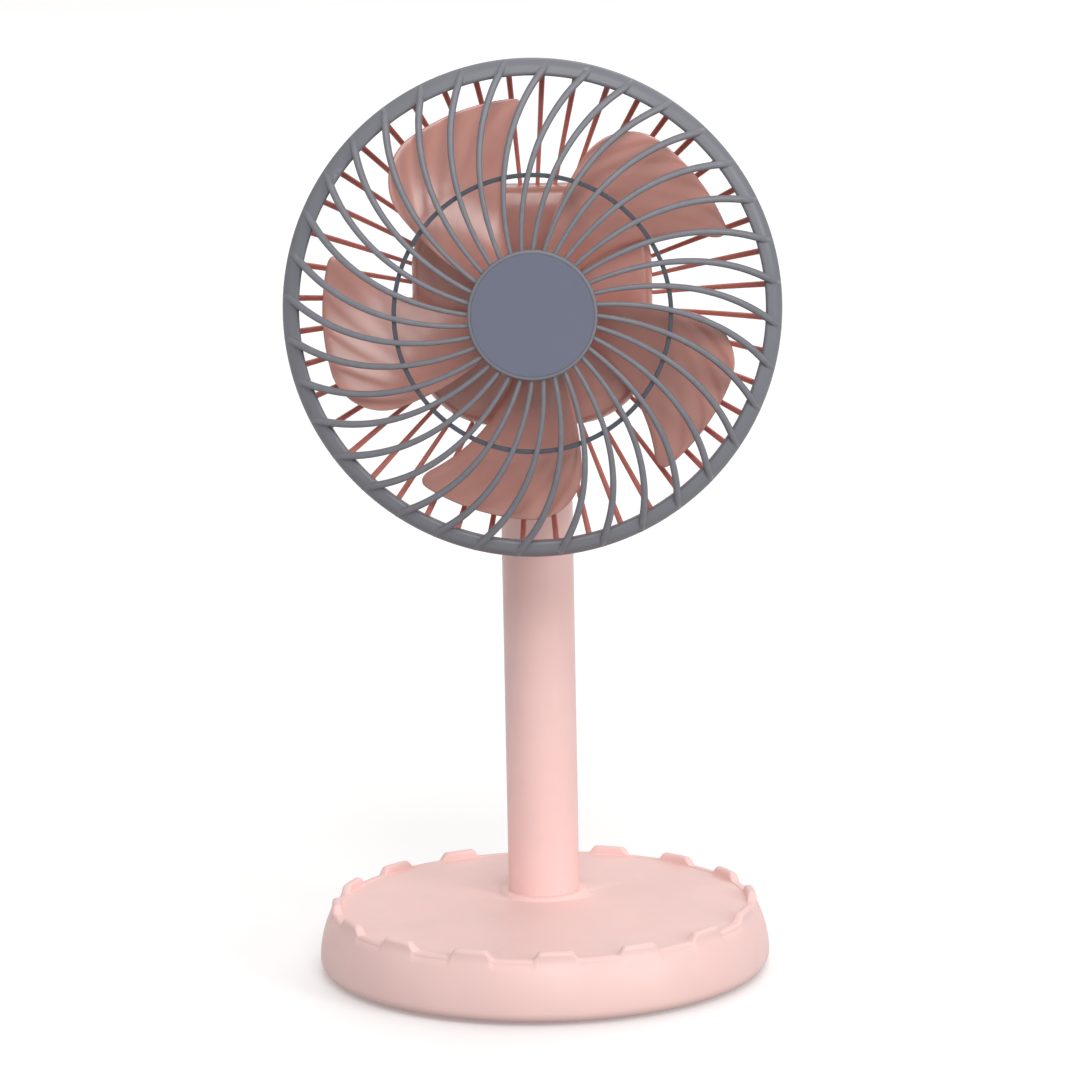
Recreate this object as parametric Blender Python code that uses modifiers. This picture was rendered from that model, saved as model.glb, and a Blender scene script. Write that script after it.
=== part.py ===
"""Desk pedestal fan: a round caged head that tilts on a plain pole, over a disc with a notched rim.

Metres, +Z up. The front of the fan faces -Y. The origin is the middle of the base, on the surface that
the fan stands on. Head parts are modelled in the head's own frame: X right, Y up and Z forward, with its
origin on the blade axis at the plane where the two cage rims meet.
"""

import math

import bmesh
import bpy
from mathutils import Matrix, Vector

GAP = 0.0003  # between parts that rest on each other
RUN = 0.0001  # radial clearance of a part that turns in another
SCREW_HOLE_R = 0.0016  # clears a screw's shank
PILOT_R = 0.0015  # takes a screw into plastic
TAP_R = 0.0014  # takes a motor or knuckle screw

# Base
BASE_R = 0.091
BASE_TOP_INSET = 0.0049
BASE_LIP_INSET = 0.0048
BASE_WIDEST_Z = 0.006
BASE_EDGE_Z = 0.0015
BASE_WALL = 0.0024
MERLON_COUNT = 16
MERLON_HEIGHT = 0.0035
MERLON_DEPTH = 0.0038
MERLON_SHARE = 0.46
MERLON_TURN = math.radians(3)
MERLON_SILL = 0.0004
COVER_THICKNESS = 0.0023
FOOT_R = 0.0075
FOOT_INSET = 0.024
FOOT_HEIGHT = 0.0017
POST_R = 0.0032
POST_INSET = 0.013
POST_TURN = math.radians(45)
BALLAST_TO_POST = 0.0038
BALLAST_THICKNESS = 0.0026

# Battery and electronics in the base
CELL_R = 0.0071
CELL_LENGTH = 0.050
CELL_Y = -0.030
CELL_APART = 0.0013
CELL_HEADROOM = 0.0010
BOARD_SIZE = (0.052, 0.026, 0.0016)
BOARD_Z = 0.0115
BOARD_INSET = 0.012
SOCKET_X = -0.010
SOCKET_SIZE = (0.009, 0.0075, 0.0034)
SWITCH_SIZE = (0.006, 0.0045, 0.006)
BUTTON_X = 0.014
BUTTON_R = 0.0040
BUTTON_PROUD = 0.0014
BUTTON_TRAVEL = 0.001

# Pole and tilt joint
POLE_Y = 0.020
POLE_R = 0.0145
POLE_WALL = 0.0018
POLE_FOOT_Z = 0.0142
ANCHOR_FLANGE = 0.003
COLLAR_WIDTH = 0.004
COLLAR_HEIGHT = 0.0014
WIRE_HOLE_R = 0.004
LEAD_HOLE_R = 0.0022
HINGE_DROP = 0.024
EAR_R = 0.012
EAR_INSET = 0.0019
YOKE_COLLAR = 0.0028
TONGUE_HALF = 0.007
TONGUE_R = 0.0098
TONGUE_WEB_HALF = 0.0075
KNUCKLE_HALF = (0.0132, 0.014)
KNUCKLE_FLANGE = 0.003
KNUCKLE_SCREW = (0.0098, 0.0105)
WASHER_THICKNESS = 0.0008
HINGE_BOLT_R = 0.002
CAP_R = 0.0066
CAP_HEIGHT = 0.0036
CAP_WALL = 0.0016

# Head
HEAD_Z = 0.271
KNUCKLE_REACH = 0.027
RIM_R = 0.095
RIM_BAND = 0.0066
RIM_DEPTH = 0.0092
RIB_COUNT = 36
RIB_TURN = math.radians(8.75)
RIB_SWIRL = math.radians(23.7)
RIB_THIN = 0.00085
RIB_THICK = 0.00155
DOME_HEIGHT = 0.020
MEDALLION_R = 0.0244
MEDALLION_LIP = 0.0012
BADGE_THICKNESS = 0.0017
RING_R = 0.0520
RING_THICKNESS = 0.00085
SPOKE_COUNT = 44
SPOKE_TURN = math.radians(4.75)
SPOKE_THIN = 0.0008
SPOKE_THICK = 0.0012
REAR_RIM_DEPTH = 0.0088
REAR_RIM_WALL = 0.003
CAGE_SETBACK = 0.015

# Motor housing, measured forward from the plane where the rims meet
HOUSING_HALF = 0.0463
HOUSING_CORNER = 0.0316
HOUSING_ROUND_SHARE = 0.43
HOUSING_WALL = 0.0022
HOUSING_FRONT = -0.008
HOUSING_SHOULDER = -0.0135
BACK_DEPTH = 0.010
BACK_INSET = 0.0098
COVER_SCREW_INSET = 0.0213
BOSS_R = 0.0034
VENT_COUNT = 5
VENT_FIRST = 0.004
VENT_PITCH = 0.0048
VENT_SIZE = (0.030, 0.0018, 0.008)

# Motor and blades
MOTOR_R = 0.017
MOTOR_LENGTH = 0.022
MOTOR_WALL = 0.0012
SHAFT_R = 0.0015
BUSH_R = 0.0033
BELL_BOSS = 0.0042
BELL_TO_COVER = 0.0011
MAGNET_WALL = 0.0028
ARMATURE_R = 0.0116
ARMATURE_LENGTH = 0.012
ARMATURE_POLES = 3
POLE_WAIST = 0.0018
POLE_CORE = 0.0036
SHOE_INNER = 0.0092
SHOE_HALF_ANGLE = math.radians(47)
MAGNET_LENGTH = 0.015
HUB_R = 0.021
HUB_WALL = 0.0022
HUB_FRONT = 0.0185
HUB_REAR = -0.0035
BLADE_COUNT = 5
TIP_TO_RIM = 0.0150
BLADE_DATUM = math.radians(38.5)
BLADE_ROOT_SPAN = math.radians(41.5)
LEAD_SWEEP = math.radians(21)
TRAIL_SWEEP = math.radians(14)
LEAD_CORNER = 0.007
TRAIL_CORNER = 0.019
BLADE_TO_RIB = 0.0046
BLADE_RISE = 0.0075
BLADE_EXTRA_RISE = 0.0015
BLADE_CAMBER = 0.0016
BLADE_THICKNESS = 0.0016

# Heights in the base, from its cover up
COVER_Z = BASE_EDGE_Z + 0.0005
INNER_FLOOR_Z = COVER_Z + COVER_THICKNESS + GAP
CELL_Z = INNER_FLOOR_Z + BALLAST_THICKNESS + GAP + CELL_R
PLATE_UNDERSIDE = CELL_Z + CELL_R + CELL_HEADROOM
BASE_TOP_Z = PLATE_UNDERSIDE + BASE_WALL
BASE_TOP_R = BASE_R - BASE_TOP_INSET
BASE_LIP_R = BASE_R - BASE_LIP_INSET
POST_CIRCLE_R = BASE_R - POST_INSET
BALLAST_R = POST_CIRCLE_R - POST_R - BALLAST_TO_POST
BOARD_REAR_Y = BASE_R - BOARD_INSET

# Pole and hinge
COLLAR_R = POLE_R + COLLAR_WIDTH
ANCHOR_R = COLLAR_R + 0.003
EAR_OUTER_X = POLE_R - EAR_INSET
HINGE_Z = HEAD_Z - HINGE_DROP
POLE_TOP_Z = HINGE_Z - EAR_R - YOKE_COLLAR

# Depths in the head, from its housing's front back
MOTOR_FRONT = HOUSING_FRONT - HOUSING_WALL - GAP
MOTOR_REAR = MOTOR_FRONT - MOTOR_LENGTH
BACK_FACE = MOTOR_REAR - BELL_BOSS - BELL_TO_COVER - HOUSING_WALL
HOUSING_REAR = BACK_FACE + BACK_DEPTH
HOUSING_ROUND_R = HOUSING_ROUND_SHARE * HOUSING_HALF
BACK_HALF = HOUSING_HALF - BACK_INSET
COVER_SCREW_PLACE = HOUSING_HALF - COVER_SCREW_INSET
HEAD_FORWARD = KNUCKLE_REACH - BACK_FACE
# A cut that goes through the knuckle's flange and the back cover
THROUGH_BACK = (BACK_FACE - 0.014, BACK_FACE + 0.006)
BLADE_TIP_R = RIM_R - TIP_TO_RIM
FACE_FORWARD = (math.pi / 2, 0, 0)
FACE_BACK = (-math.pi / 2, 0, 0)
FACE_RIGHT = (0, math.pi / 2, 0)
FACE_LEFT = (0, -math.pi / 2, 0)
FACE_DOWN = (math.pi, 0, 0)


# Scene, materials and modelling helpers


def clear_scene():
    for obj in list(bpy.data.objects):
        bpy.data.objects.remove(obj)


def new_collection(name):
    collection = bpy.data.collections.new(name)
    bpy.context.scene.collection.children.link(collection)
    return collection


def new_material(name, colour, roughness, metallic=0.0):
    material = bpy.data.materials.new(name)
    material.use_nodes = True
    shader = material.node_tree.nodes["Principled BSDF"]
    shader.inputs["Base Color"].default_value = (*colour, 1.0)
    shader.inputs["Roughness"].default_value = roughness
    shader.inputs["Metallic"].default_value = metallic
    return material


clear_scene()
PARTS = new_collection("pedestal_fan")
TOOLS = new_collection("cutters")
PINK = new_material("pink_plastic", (0.90, 0.62, 0.59), 0.42)
ROSE = new_material("rose_plastic", (0.72, 0.40, 0.36), 0.35)
GREY = new_material("grey_plastic", (0.27, 0.28, 0.32), 0.40)
SLATE = new_material("slate_badge", (0.20, 0.22, 0.29), 0.45)
WHITE = new_material("white_nylon", (0.80, 0.79, 0.76), 0.50)
BLACK = new_material("black_plastic", (0.03, 0.03, 0.03), 0.50)
RUBBER = new_material("rubber", (0.05, 0.05, 0.05), 0.85)
STEEL = new_material("steel", (0.62, 0.62, 0.62), 0.30, 1.0)
BRONZE = new_material("bronze", (0.62, 0.42, 0.22), 0.35, 1.0)
COPPER = new_material("copper", (0.75, 0.35, 0.18), 0.35, 1.0)
BOARD = new_material("circuit_board", (0.03, 0.22, 0.10), 0.50)
CELL_WRAP = new_material("cell_wrap", (0.08, 0.25, 0.55), 0.40)
MAGNET = new_material("magnet", (0.10, 0.10, 0.11), 0.60)


def place_object(name, data, material, place, turn, parent):
    obj = bpy.data.objects.new(name, data)
    PARTS.objects.link(obj)
    obj.location = place
    obj.rotation_euler = turn
    obj.parent = parent
    if material is not None:
        data.materials.append(material)
    return obj


def new_empty(name, place, turn=(0, 0, 0), parent=None):
    empty = bpy.data.objects.new(name, None)
    PARTS.objects.link(empty)
    empty.location = place
    empty.rotation_euler = turn
    empty.parent = parent
    empty.empty_display_size = 0.02
    return empty


def make_tool(obj):
    """Hides an object that only cuts or joins another."""
    PARTS.objects.unlink(obj)
    TOOLS.objects.link(obj)
    obj.hide_render = True
    obj.display_type = "WIRE"
    return obj


def combine(target, tool, operation):
    boolean = target.modifiers.new(tool.name, "BOOLEAN")
    boolean.solver = "MANIFOLD"
    boolean.operation = operation
    boolean.object = make_tool(tool)


def cut(target, tool):
    combine(target, tool, "DIFFERENCE")


def join(target, tool):
    combine(target, tool, "UNION")


def mesh_from(bm, name):
    mesh = bpy.data.meshes.new(name)
    bm.to_mesh(mesh)
    bm.free()
    mesh.shade_smooth()
    mesh.set_sharp_from_angle(angle=math.radians(35))
    return mesh


def lathe(
    name, profile, material=None, place=(0, 0, 0), turn=(0, 0, 0), parent=None, steps=32, ring=False
):
    """A turned part: (radius, height) points down its outer side, round Z. A ring's profile is closed."""
    mesh = bpy.data.meshes.new(name)
    edges = [(i, i + 1) for i in range(len(profile) - 1)]
    if ring:
        edges.append((len(profile) - 1, 0))
    mesh.from_pydata([(radius, 0, height) for radius, height in profile], edges, [])
    obj = place_object(name, mesh, material, place, turn, parent)
    screw = obj.modifiers.new("turn", "SCREW")
    screw.steps = steps
    screw.render_steps = steps
    screw.use_merge_vertices = True
    screw.merge_threshold = 0.00001
    return obj


def tube(name, outer, inner, bottom, top, material=None, **placing):
    """A round tube between two heights."""
    profile = [(outer, top), (outer, bottom), (inner, bottom), (inner, top)]
    return lathe(name, profile, material, ring=True, **placing)


def rod(name, radius, bottom, top, material=None, **placing):
    """A solid cylinder between two heights."""
    profile = [(0, top), (radius, top), (radius, bottom), (0, bottom)]
    return lathe(name, profile, material, **placing)


def box(name, low, high, material=None, parent=None, bevel=0.0):
    """A block between two corners, its edges rounded by bevel."""
    low, high = Vector(low), Vector(high)
    bm = bmesh.new()
    bmesh.ops.create_cube(bm, size=1)
    bmesh.ops.scale(bm, vec=high - low, verts=bm.verts)
    obj = place_object(name, mesh_from(bm, name), material, (low + high) / 2, (0, 0, 0), parent)
    if bevel:
        rounding = obj.modifiers.new("edges", "BEVEL")
        rounding.width = bevel
        rounding.segments = 2
    return obj


def pegs(name, places, radius, bottom, top, parent=None, segments=12):
    """Equal upright cylinders at (x, y) places, as one tool."""
    bm = bmesh.new()
    for x, y in places:
        middle = Matrix.Translation((x, y, (bottom + top) / 2))
        bmesh.ops.create_cone(
            bm,
            cap_ends=True,
            segments=segments,
            radius1=radius,
            radius2=radius,
            depth=top - bottom,
            matrix=middle,
        )
    return place_object(name, mesh_from(bm, name), None, (0, 0, 0), (0, 0, 0), parent)


def rods_along(name, paths, parent=None, sides=0):
    """Bent rods as one mesh. A path is a list of (point, radius); sides is the bevel resolution."""
    curve = bpy.data.curves.new(name, "CURVE")
    curve.dimensions = "3D"
    curve.bevel_depth = 1.0
    curve.bevel_resolution = sides
    curve.use_fill_caps = True
    for path in paths:
        spline = curve.splines.new("POLY")
        spline.points.add(len(path) - 1)
        for point, (position, radius) in zip(spline.points, path):
            point.co = (*position, 1)
            point.radius = radius
    guide = place_object(name + "_guide", curve, None, (0, 0, 0), (0, 0, 0), parent)
    bpy.context.view_layer.update()
    mesh = bpy.data.meshes.new_from_object(guide.evaluated_get(bpy.context.evaluated_depsgraph_get()))
    bm = bmesh.new()
    bm.from_mesh(mesh)
    bmesh.ops.remove_doubles(bm, verts=bm.verts, dist=0.000001)
    bpy.data.objects.remove(guide)
    return place_object(name, mesh_from(bm, name), None, (0, 0, 0), (0, 0, 0), parent)


def plate(name, outlines, thickness, material=None, place=(0, 0, 0), turn=(0, 0, 0), parent=None):
    """A flat outline, with any holes, extruded by half its thickness each way."""
    curve = bpy.data.curves.new(name, "CURVE")
    curve.dimensions = "2D"
    curve.fill_mode = "BOTH"
    curve.extrude = thickness / 2
    for outline in outlines:
        spline = curve.splines.new("POLY")
        spline.points.add(len(outline) - 1)
        spline.use_cyclic_u = True
        for point, (x, y) in zip(spline.points, outline):
            point.co = (x, y, 0, 1)
    return place_object(name, curve, material, place, turn, parent)


def circle(radius, count, middle=(0, 0)):
    steps = (2 * math.pi * i / count for i in range(count))
    return [(middle[0] + radius * math.cos(a), middle[1] + radius * math.sin(a)) for a in steps]


def ring_of(count, radius, first=0.0):
    """(x, y) places evenly round a circle."""
    angles = (first + 2 * math.pi * i / count for i in range(count))
    return [(radius * math.cos(a), radius * math.sin(a)) for a in angles]


def screw(name, place, turn, parent=None, shank_r=0.0013, length=0.008, head_r=0.0026, head=0.0018):
    """A pan-head screw. Its head sits on the place and it is driven down its own -Z."""
    profile = [
        (0, head),
        (0.6 * head_r, 0.9 * head),
        (head_r, 0.4 * head),
        (head_r, 0),
        (shank_r, 0),
        (shank_r, -length),
        (0, -length - shank_r),
    ]
    return lathe(name, profile, STEEL, place=place, turn=turn, parent=parent, steps=8)


# Stand: base, electronics, pole and yoke


def base_wall_radius(z):
    """Outer radius of the base's bulging wall at a height."""
    rise = max(0.0, (z - BASE_WIDEST_Z) / (BASE_TOP_Z - BASE_WIDEST_Z))
    return BASE_TOP_R + (BASE_R - BASE_TOP_R) * (1 - rise**2)


def base_wall_y(x, z):
    """How far back the outside of the base's wall is, at a place across it."""
    return math.sqrt(base_wall_radius(z) ** 2 - x**2)


def base_profile():
    """The shell's section: top plate, rim, wall, lower edge, then the inside back to the axis."""
    top = BASE_TOP_Z + MERLON_HEIGHT
    outline = [(0, BASE_TOP_Z), (BASE_TOP_R - MERLON_DEPTH, BASE_TOP_Z)]
    outline += [(BASE_TOP_R - MERLON_DEPTH, top), (BASE_TOP_R, top)]
    wall_steps = 3
    for i in range(wall_steps + 1):
        z = BASE_TOP_Z + (BASE_WIDEST_Z - BASE_TOP_Z) * i / wall_steps
        outline.append((base_wall_radius(z), z))
    edge = BASE_WIDEST_Z - BASE_EDGE_Z
    for angle in (math.radians(35), math.radians(65)):
        outline.append((BASE_R - edge * (1 - math.cos(angle)), BASE_WIDEST_Z - edge * math.sin(angle)))
    outline += [(BASE_R - 0.8 * edge, BASE_EDGE_Z), (BASE_LIP_R, BASE_EDGE_Z)]
    outline += [(BASE_LIP_R, BASE_WIDEST_Z), (BASE_R - BASE_WALL, 1.6 * BASE_WIDEST_Z)]
    outline += [(BASE_TOP_R - BASE_WALL, PLATE_UNDERSIDE), (0, PLATE_UNDERSIDE)]
    return outline


def merlon_gaps():
    """One block for each gap between the rim's merlons."""
    middle_r = BASE_TOP_R - MERLON_DEPTH / 2
    pitch = 2 * math.pi / MERLON_COUNT
    width = middle_r * pitch * (1 - MERLON_SHARE)
    floor = BASE_TOP_Z + MERLON_SILL
    bm = bmesh.new()
    for i in range(MERLON_COUNT):
        turn = MERLON_TURN - math.pi / 2 + pitch * (i + 0.5)
        block = Matrix.Rotation(turn, 4, "Z") @ Matrix.Translation((middle_r, 0, floor + MERLON_HEIGHT))
        block = block @ Matrix.Diagonal((2.2 * MERLON_DEPTH, width, 2 * MERLON_HEIGHT, 1))
        bmesh.ops.create_cube(bm, size=1, matrix=block)
    return place_object("merlon_gaps", mesh_from(bm, "merlon_gaps"), None, (0, 0, 0), (0, 0, 0), None)


def board_places():
    """Where the circuit board's screws go."""
    edge = 0.0035
    front_y = BOARD_REAR_Y - BOARD_SIZE[1] + edge
    return [(-BOARD_SIZE[0] / 2 + edge, front_y), (BOARD_SIZE[0] / 2 - edge, front_y)]


def anchor_places():
    """Where the pole anchor's screws go, either side of the pole."""
    place_r = (POLE_R + COLLAR_R) / 2 + 0.0015
    return [(-place_r, POLE_Y), (place_r, POLE_Y)]


def make_base_shell():
    shell = lathe("base_shell", base_profile(), PINK, steps=48)
    cut(shell, merlon_gaps())
    collar_top = BASE_TOP_Z + COLLAR_HEIGHT
    anchor_top = POLE_FOOT_Z + ANCHOR_FLANGE
    collar = [
        (0, collar_top),
        (COLLAR_R - 0.0022, collar_top),
        (COLLAR_R - 0.0008, collar_top - 0.0005),
        (COLLAR_R, BASE_TOP_Z - 0.0006),
        (ANCHOR_R, PLATE_UNDERSIDE + 0.0006),
        (ANCHOR_R, anchor_top),
        (0, anchor_top),
    ]
    join(shell, lathe("pole_boss", collar, place=(0, POLE_Y, 0)))
    posts = ring_of(4, POST_CIRCLE_R, POST_TURN)
    join(shell, pegs("cover_posts", posts, POST_R, INNER_FLOOR_Z, PLATE_UNDERSIDE + 0.001))
    posts_bottom = BOARD_Z + BOARD_SIZE[2] + GAP
    join(shell, pegs("board_posts", board_places(), POST_R, posts_bottom, PLATE_UNDERSIDE + 0.001))
    socket_hole = rod("pole_hole", POLE_R + GAP, 0, 2 * BASE_TOP_Z, place=(0, POLE_Y, 0))
    cut(shell, socket_hole)
    cut(shell, pegs("post_pilots", posts, PILOT_R, 0, INNER_FLOOR_Z + 0.010))
    cut(shell, pegs("board_pilots", board_places(), PILOT_R, 0, posts_bottom + 0.006))
    cut(shell, pegs("anchor_pilots", anchor_places(), PILOT_R, 0, anchor_top + 0.0065))
    button_z = switch_middle_z()
    button_at = (BUTTON_X, base_wall_y(BUTTON_X, button_z), button_z)
    cut(shell, rod("button_hole", BUTTON_R + GAP, -0.01, 0.01, place=button_at, turn=FACE_BACK))
    cut(shell, socket_slot())
    return shell


def switch_middle_z():
    return BOARD_Z + BOARD_SIZE[2] + GAP + SWITCH_SIZE[2] / 2


def socket_slot():
    """The slot in the base's wall that a charging plug goes through."""
    low_z = BOARD_Z + BOARD_SIZE[2] + GAP
    half = SOCKET_SIZE[0] / 2 + GAP
    low = (SOCKET_X - half, BOARD_REAR_Y, low_z - GAP)
    high = (SOCKET_X + half, BASE_R + 0.005, low_z + SOCKET_SIZE[2] + GAP)
    return box("socket_slot", low, high)


def make_base_underside():
    top = COVER_Z + COVER_THICKNESS
    cover = rod("base_cover", BASE_LIP_R - GAP, COVER_Z, top, PINK, steps=40)
    posts = ring_of(4, POST_CIRCLE_R, POST_TURN)
    cut(cover, pegs("cover_screw_holes", posts, SCREW_HOLE_R, 0, 2 * top))
    for number, (x, y) in enumerate(posts, 1):
        place = (x, y, COVER_Z - GAP)
        screw(f"base_screw_{number}", place, FACE_DOWN, length=0.011, head=COVER_Z - 0.0007)
    for number, (x, y) in enumerate(ring_of(4, BASE_R - FOOT_INSET), 1):
        foot = [(0, FOOT_HEIGHT), (FOOT_R, FOOT_HEIGHT), (FOOT_R, 0.0004), (FOOT_R - 0.0004, 0), (0, 0)]
        lathe(f"rubber_foot_{number}", foot, RUBBER, place=(x, y, 0), steps=16)
    rod("ballast_plate", BALLAST_R, INNER_FLOOR_Z, INNER_FLOOR_Z + BALLAST_THICKNESS, STEEL, steps=32)


def make_battery():
    half = CELL_LENGTH / 2
    crimp = 0.0008
    for number, side in enumerate((-0.5, 0.5), 1):
        profile = [(0, half), (0.003, half), (0.003, half - crimp), (CELL_R - crimp, half - crimp)]
        profile += [(CELL_R, half - 2 * crimp), (CELL_R, -half), (0, -half)]
        place = (0, CELL_Y + side * (2 * CELL_R + CELL_APART), CELL_Z)
        lathe(f"battery_cell_{number}", profile, CELL_WRAP, place=place, turn=FACE_RIGHT, steps=16)


def make_electronics():
    half_x, depth, thickness = BOARD_SIZE[0] / 2, BOARD_SIZE[1], BOARD_SIZE[2]
    low = (-half_x, BOARD_REAR_Y - depth, BOARD_Z)
    board = box("control_board", low, (half_x, BOARD_REAR_Y, BOARD_Z + thickness), BOARD)
    cut(board, pegs("board_holes", board_places(), SCREW_HOLE_R, 0, BASE_TOP_Z))
    for number, (x, y) in enumerate(board_places(), 1):
        screw(f"board_screw_{number}", (x, y, BOARD_Z - GAP), FACE_DOWN, length=0.006)
    top = BOARD_Z + thickness + GAP
    socket_low = (SOCKET_X - SOCKET_SIZE[0] / 2, BOARD_REAR_Y + GAP, top)
    socket_high = (SOCKET_X + SOCKET_SIZE[0] / 2, BOARD_REAR_Y + SOCKET_SIZE[1], top + SOCKET_SIZE[2])
    socket = box("charging_socket", socket_low, socket_high, STEEL, bevel=0.0005)
    wall = 0.0004
    mouth_low = [value + wall for value in socket_low]
    mouth_high = (socket_high[0] - wall, socket_high[1] + wall, socket_high[2] - wall)
    cut(socket, box("socket_mouth", mouth_low, mouth_high))
    button_z = switch_middle_z()
    switch_low = (BUTTON_X - SWITCH_SIZE[0] / 2, BOARD_REAR_Y - 0.006, top)
    switch_high = (BUTTON_X + SWITCH_SIZE[0] / 2, switch_low[1] + SWITCH_SIZE[1], top + SWITCH_SIZE[2])
    switch = box("speed_switch", switch_low, switch_high, BLACK)
    stem_end = switch_high[1] + 0.001
    stem_at = (BUTTON_X, switch_high[1] - 0.001, button_z)
    join(switch, rod("switch_stem", 0.0015, 0, 0.002, place=stem_at, turn=FACE_BACK, steps=12))
    face = base_wall_y(BUTTON_X, button_z) + BUTTON_PROUD
    back = stem_end + BUTTON_TRAVEL + GAP
    flange_r = BUTTON_R + 0.0012
    inside_wall = base_wall_y(BUTTON_X + flange_r, button_z + flange_r) - 1.45 * BASE_WALL
    flange = inside_wall - GAP - face
    button = [(0, 0), (BUTTON_R - 0.0006, 0), (BUTTON_R, -0.0006), (BUTTON_R, flange)]
    button += [(flange_r, flange), (flange_r, flange - 0.0012), (0.002, flange - 0.0012)]
    button += [(0.002, back - face), (0, back - face)]
    lathe("speed_button", button, GREY, place=(BUTTON_X, face, button_z), turn=FACE_BACK, steps=16)


def make_pole():
    inner = POLE_R - POLE_WALL
    foot = POLE_FOOT_Z + ANCHOR_FLANGE + GAP
    tube("pole", POLE_R, inner, foot, POLE_TOP_Z, PINK, place=(0, POLE_Y, 0), steps=28)
    low = POLE_FOOT_Z - GAP
    flange_top = low + ANCHOR_FLANGE
    plug = [
        (inner - GAP, flange_top + 0.012),
        (inner - GAP, flange_top),
        (ANCHOR_R, flange_top),
        (ANCHOR_R, low),
        (WIRE_HOLE_R, low),
        (WIRE_HOLE_R, flange_top + 0.012),
    ]
    anchor = lathe("pole_anchor", plug, WHITE, place=(0, POLE_Y, 0), ring=True, steps=24)
    cut(anchor, pegs("anchor_screw_holes", anchor_places(), SCREW_HOLE_R, 0, BASE_TOP_Z))
    for number, (x, y) in enumerate(anchor_places(), 1):
        screw(f"anchor_screw_{number}", (x, y, low - GAP), FACE_DOWN, length=0.008, head=0.0016)


def make_yoke():
    """The fork on top of the pole: a plug in the tube, a collar, and two ears within the pole's round."""
    at_pole = (0, POLE_Y, 0)
    stem_r = POLE_R - POLE_WALL - GAP
    collar_low = POLE_TOP_Z + GAP
    ears_top = HINGE_Z + EAR_R
    body = [(0, ears_top + 0.001), (POLE_R, ears_top + 0.001), (POLE_R, collar_low)]
    body += [(stem_r, collar_low), (stem_r, POLE_TOP_Z - 0.025), (0, POLE_TOP_Z - 0.025)]
    yoke = lathe("neck_yoke", body, PINK, place=at_pole, steps=28)
    keep = rod("ear_round", EAR_R, -0.03, 0.03, place=(0, POLE_Y, HINGE_Z), turn=FACE_RIGHT)
    below = box("ear_root", (-0.03, POLE_Y - EAR_R, POLE_TOP_Z - 0.03), (0.03, POLE_Y + EAR_R, HINGE_Z))
    join(keep, below)
    stem_low = (-0.031, POLE_Y - 0.031, POLE_TOP_Z - 0.031)
    join(keep, box("stem_block", stem_low, (0.031, POLE_Y + 0.031, HINGE_Z - EAR_R)))
    combine(yoke, keep, "INTERSECT")
    slot_half = TONGUE_HALF + WASHER_THICKNESS + 2 * RUN
    slot_low = (-slot_half, POLE_Y - 0.03, HINGE_Z - EAR_R + 0.0006)
    cut(yoke, box("tongue_slot", slot_low, (slot_half, POLE_Y + 0.03, ears_top + 0.03)))
    for side, name in ((-1, "left_flat"), (1, "right_flat")):
        faces = sorted((side * EAR_OUTER_X, side * 0.03))
        low = (faces[0], POLE_Y - 0.03, HINGE_Z - CAP_R - GAP)
        cut(yoke, box(name, low, (faces[1], POLE_Y + 0.03, ears_top + 0.03)))
    cut(yoke, rod("yoke_wire_hole", WIRE_HOLE_R, 0, ears_top, place=at_pole, steps=16))
    hinge = (0, POLE_Y, HINGE_Z)
    cut(yoke, rod("ear_bore", HINGE_BOLT_R + RUN, -0.03, 0.03, place=hinge, turn=FACE_RIGHT, steps=16))


def make_hinge_hardware():
    hinge = (0, POLE_Y, HINGE_Z)
    head = 0.0022
    reach = EAR_OUTER_X + GAP
    bolt = [(0, reach + head), (0.0034, reach + head), (0.0034, reach), (HINGE_BOLT_R, reach)]
    bolt += [(HINGE_BOLT_R, -reach - 0.0026), (0, -reach - 0.0026)]
    lathe("hinge_bolt", bolt, STEEL, place=hinge, turn=FACE_RIGHT, steps=16)
    nut_at = (-reach - 0.00115, POLE_Y, HINGE_Z)
    across = 0.0038
    outlines = [circle(across, 6), circle(HINGE_BOLT_R + RUN, 16)]
    plate("hinge_nut", outlines, 0.0022, STEEL, place=nut_at, turn=FACE_RIGHT)
    inner = TONGUE_HALF + RUN
    for side, name in ((1, "right"), (-1, "left")):
        face = FACE_RIGHT if side > 0 else FACE_LEFT
        washer = (HINGE_BOLT_R + RUN, inner, inner + WASHER_THICKNESS)
        tube(f"friction_washer_{name}", 0.0088, *washer, WHITE, place=hinge, turn=face, steps=16)
        outer = reach + CAP_HEIGHT
        cap = [
            (0, outer),
            (CAP_R - 0.0014, outer),
            (CAP_R - 0.0004, outer - 0.0005),
            (CAP_R, outer - 0.0014),
            (CAP_R, reach),
            (CAP_R - CAP_WALL, reach),
            (CAP_R - CAP_WALL, outer - 0.0009),
            (0, outer - 0.0009),
        ]
        lathe(f"hinge_cap_{name}", cap, PINK, place=hinge, turn=face, steps=16)


def make_supply_lead():
    """The motor's supply lead: from the board, in at the foot of the pole, and up to the yoke's slot."""
    low = POLE_FOOT_Z - 0.0026
    top = POLE_TOP_Z + 0.002
    route = [(0, BOARD_REAR_Y - BOARD_SIZE[1] - 0.0015, low), (0, POLE_Y + 0.004, low)]
    route += [(0, POLE_Y + 0.0012, low + 0.001), (0, POLE_Y, low + 0.003)]
    route += [(0, POLE_Y, 0.5 * (low + top)), (0, POLE_Y, top)]
    lead = rods_along("supply_lead", [[(point, 0.0014) for point in route]], sides=2)
    lead.data.materials.append(BLACK)


# Head: cage, housing, motor and blades


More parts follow.
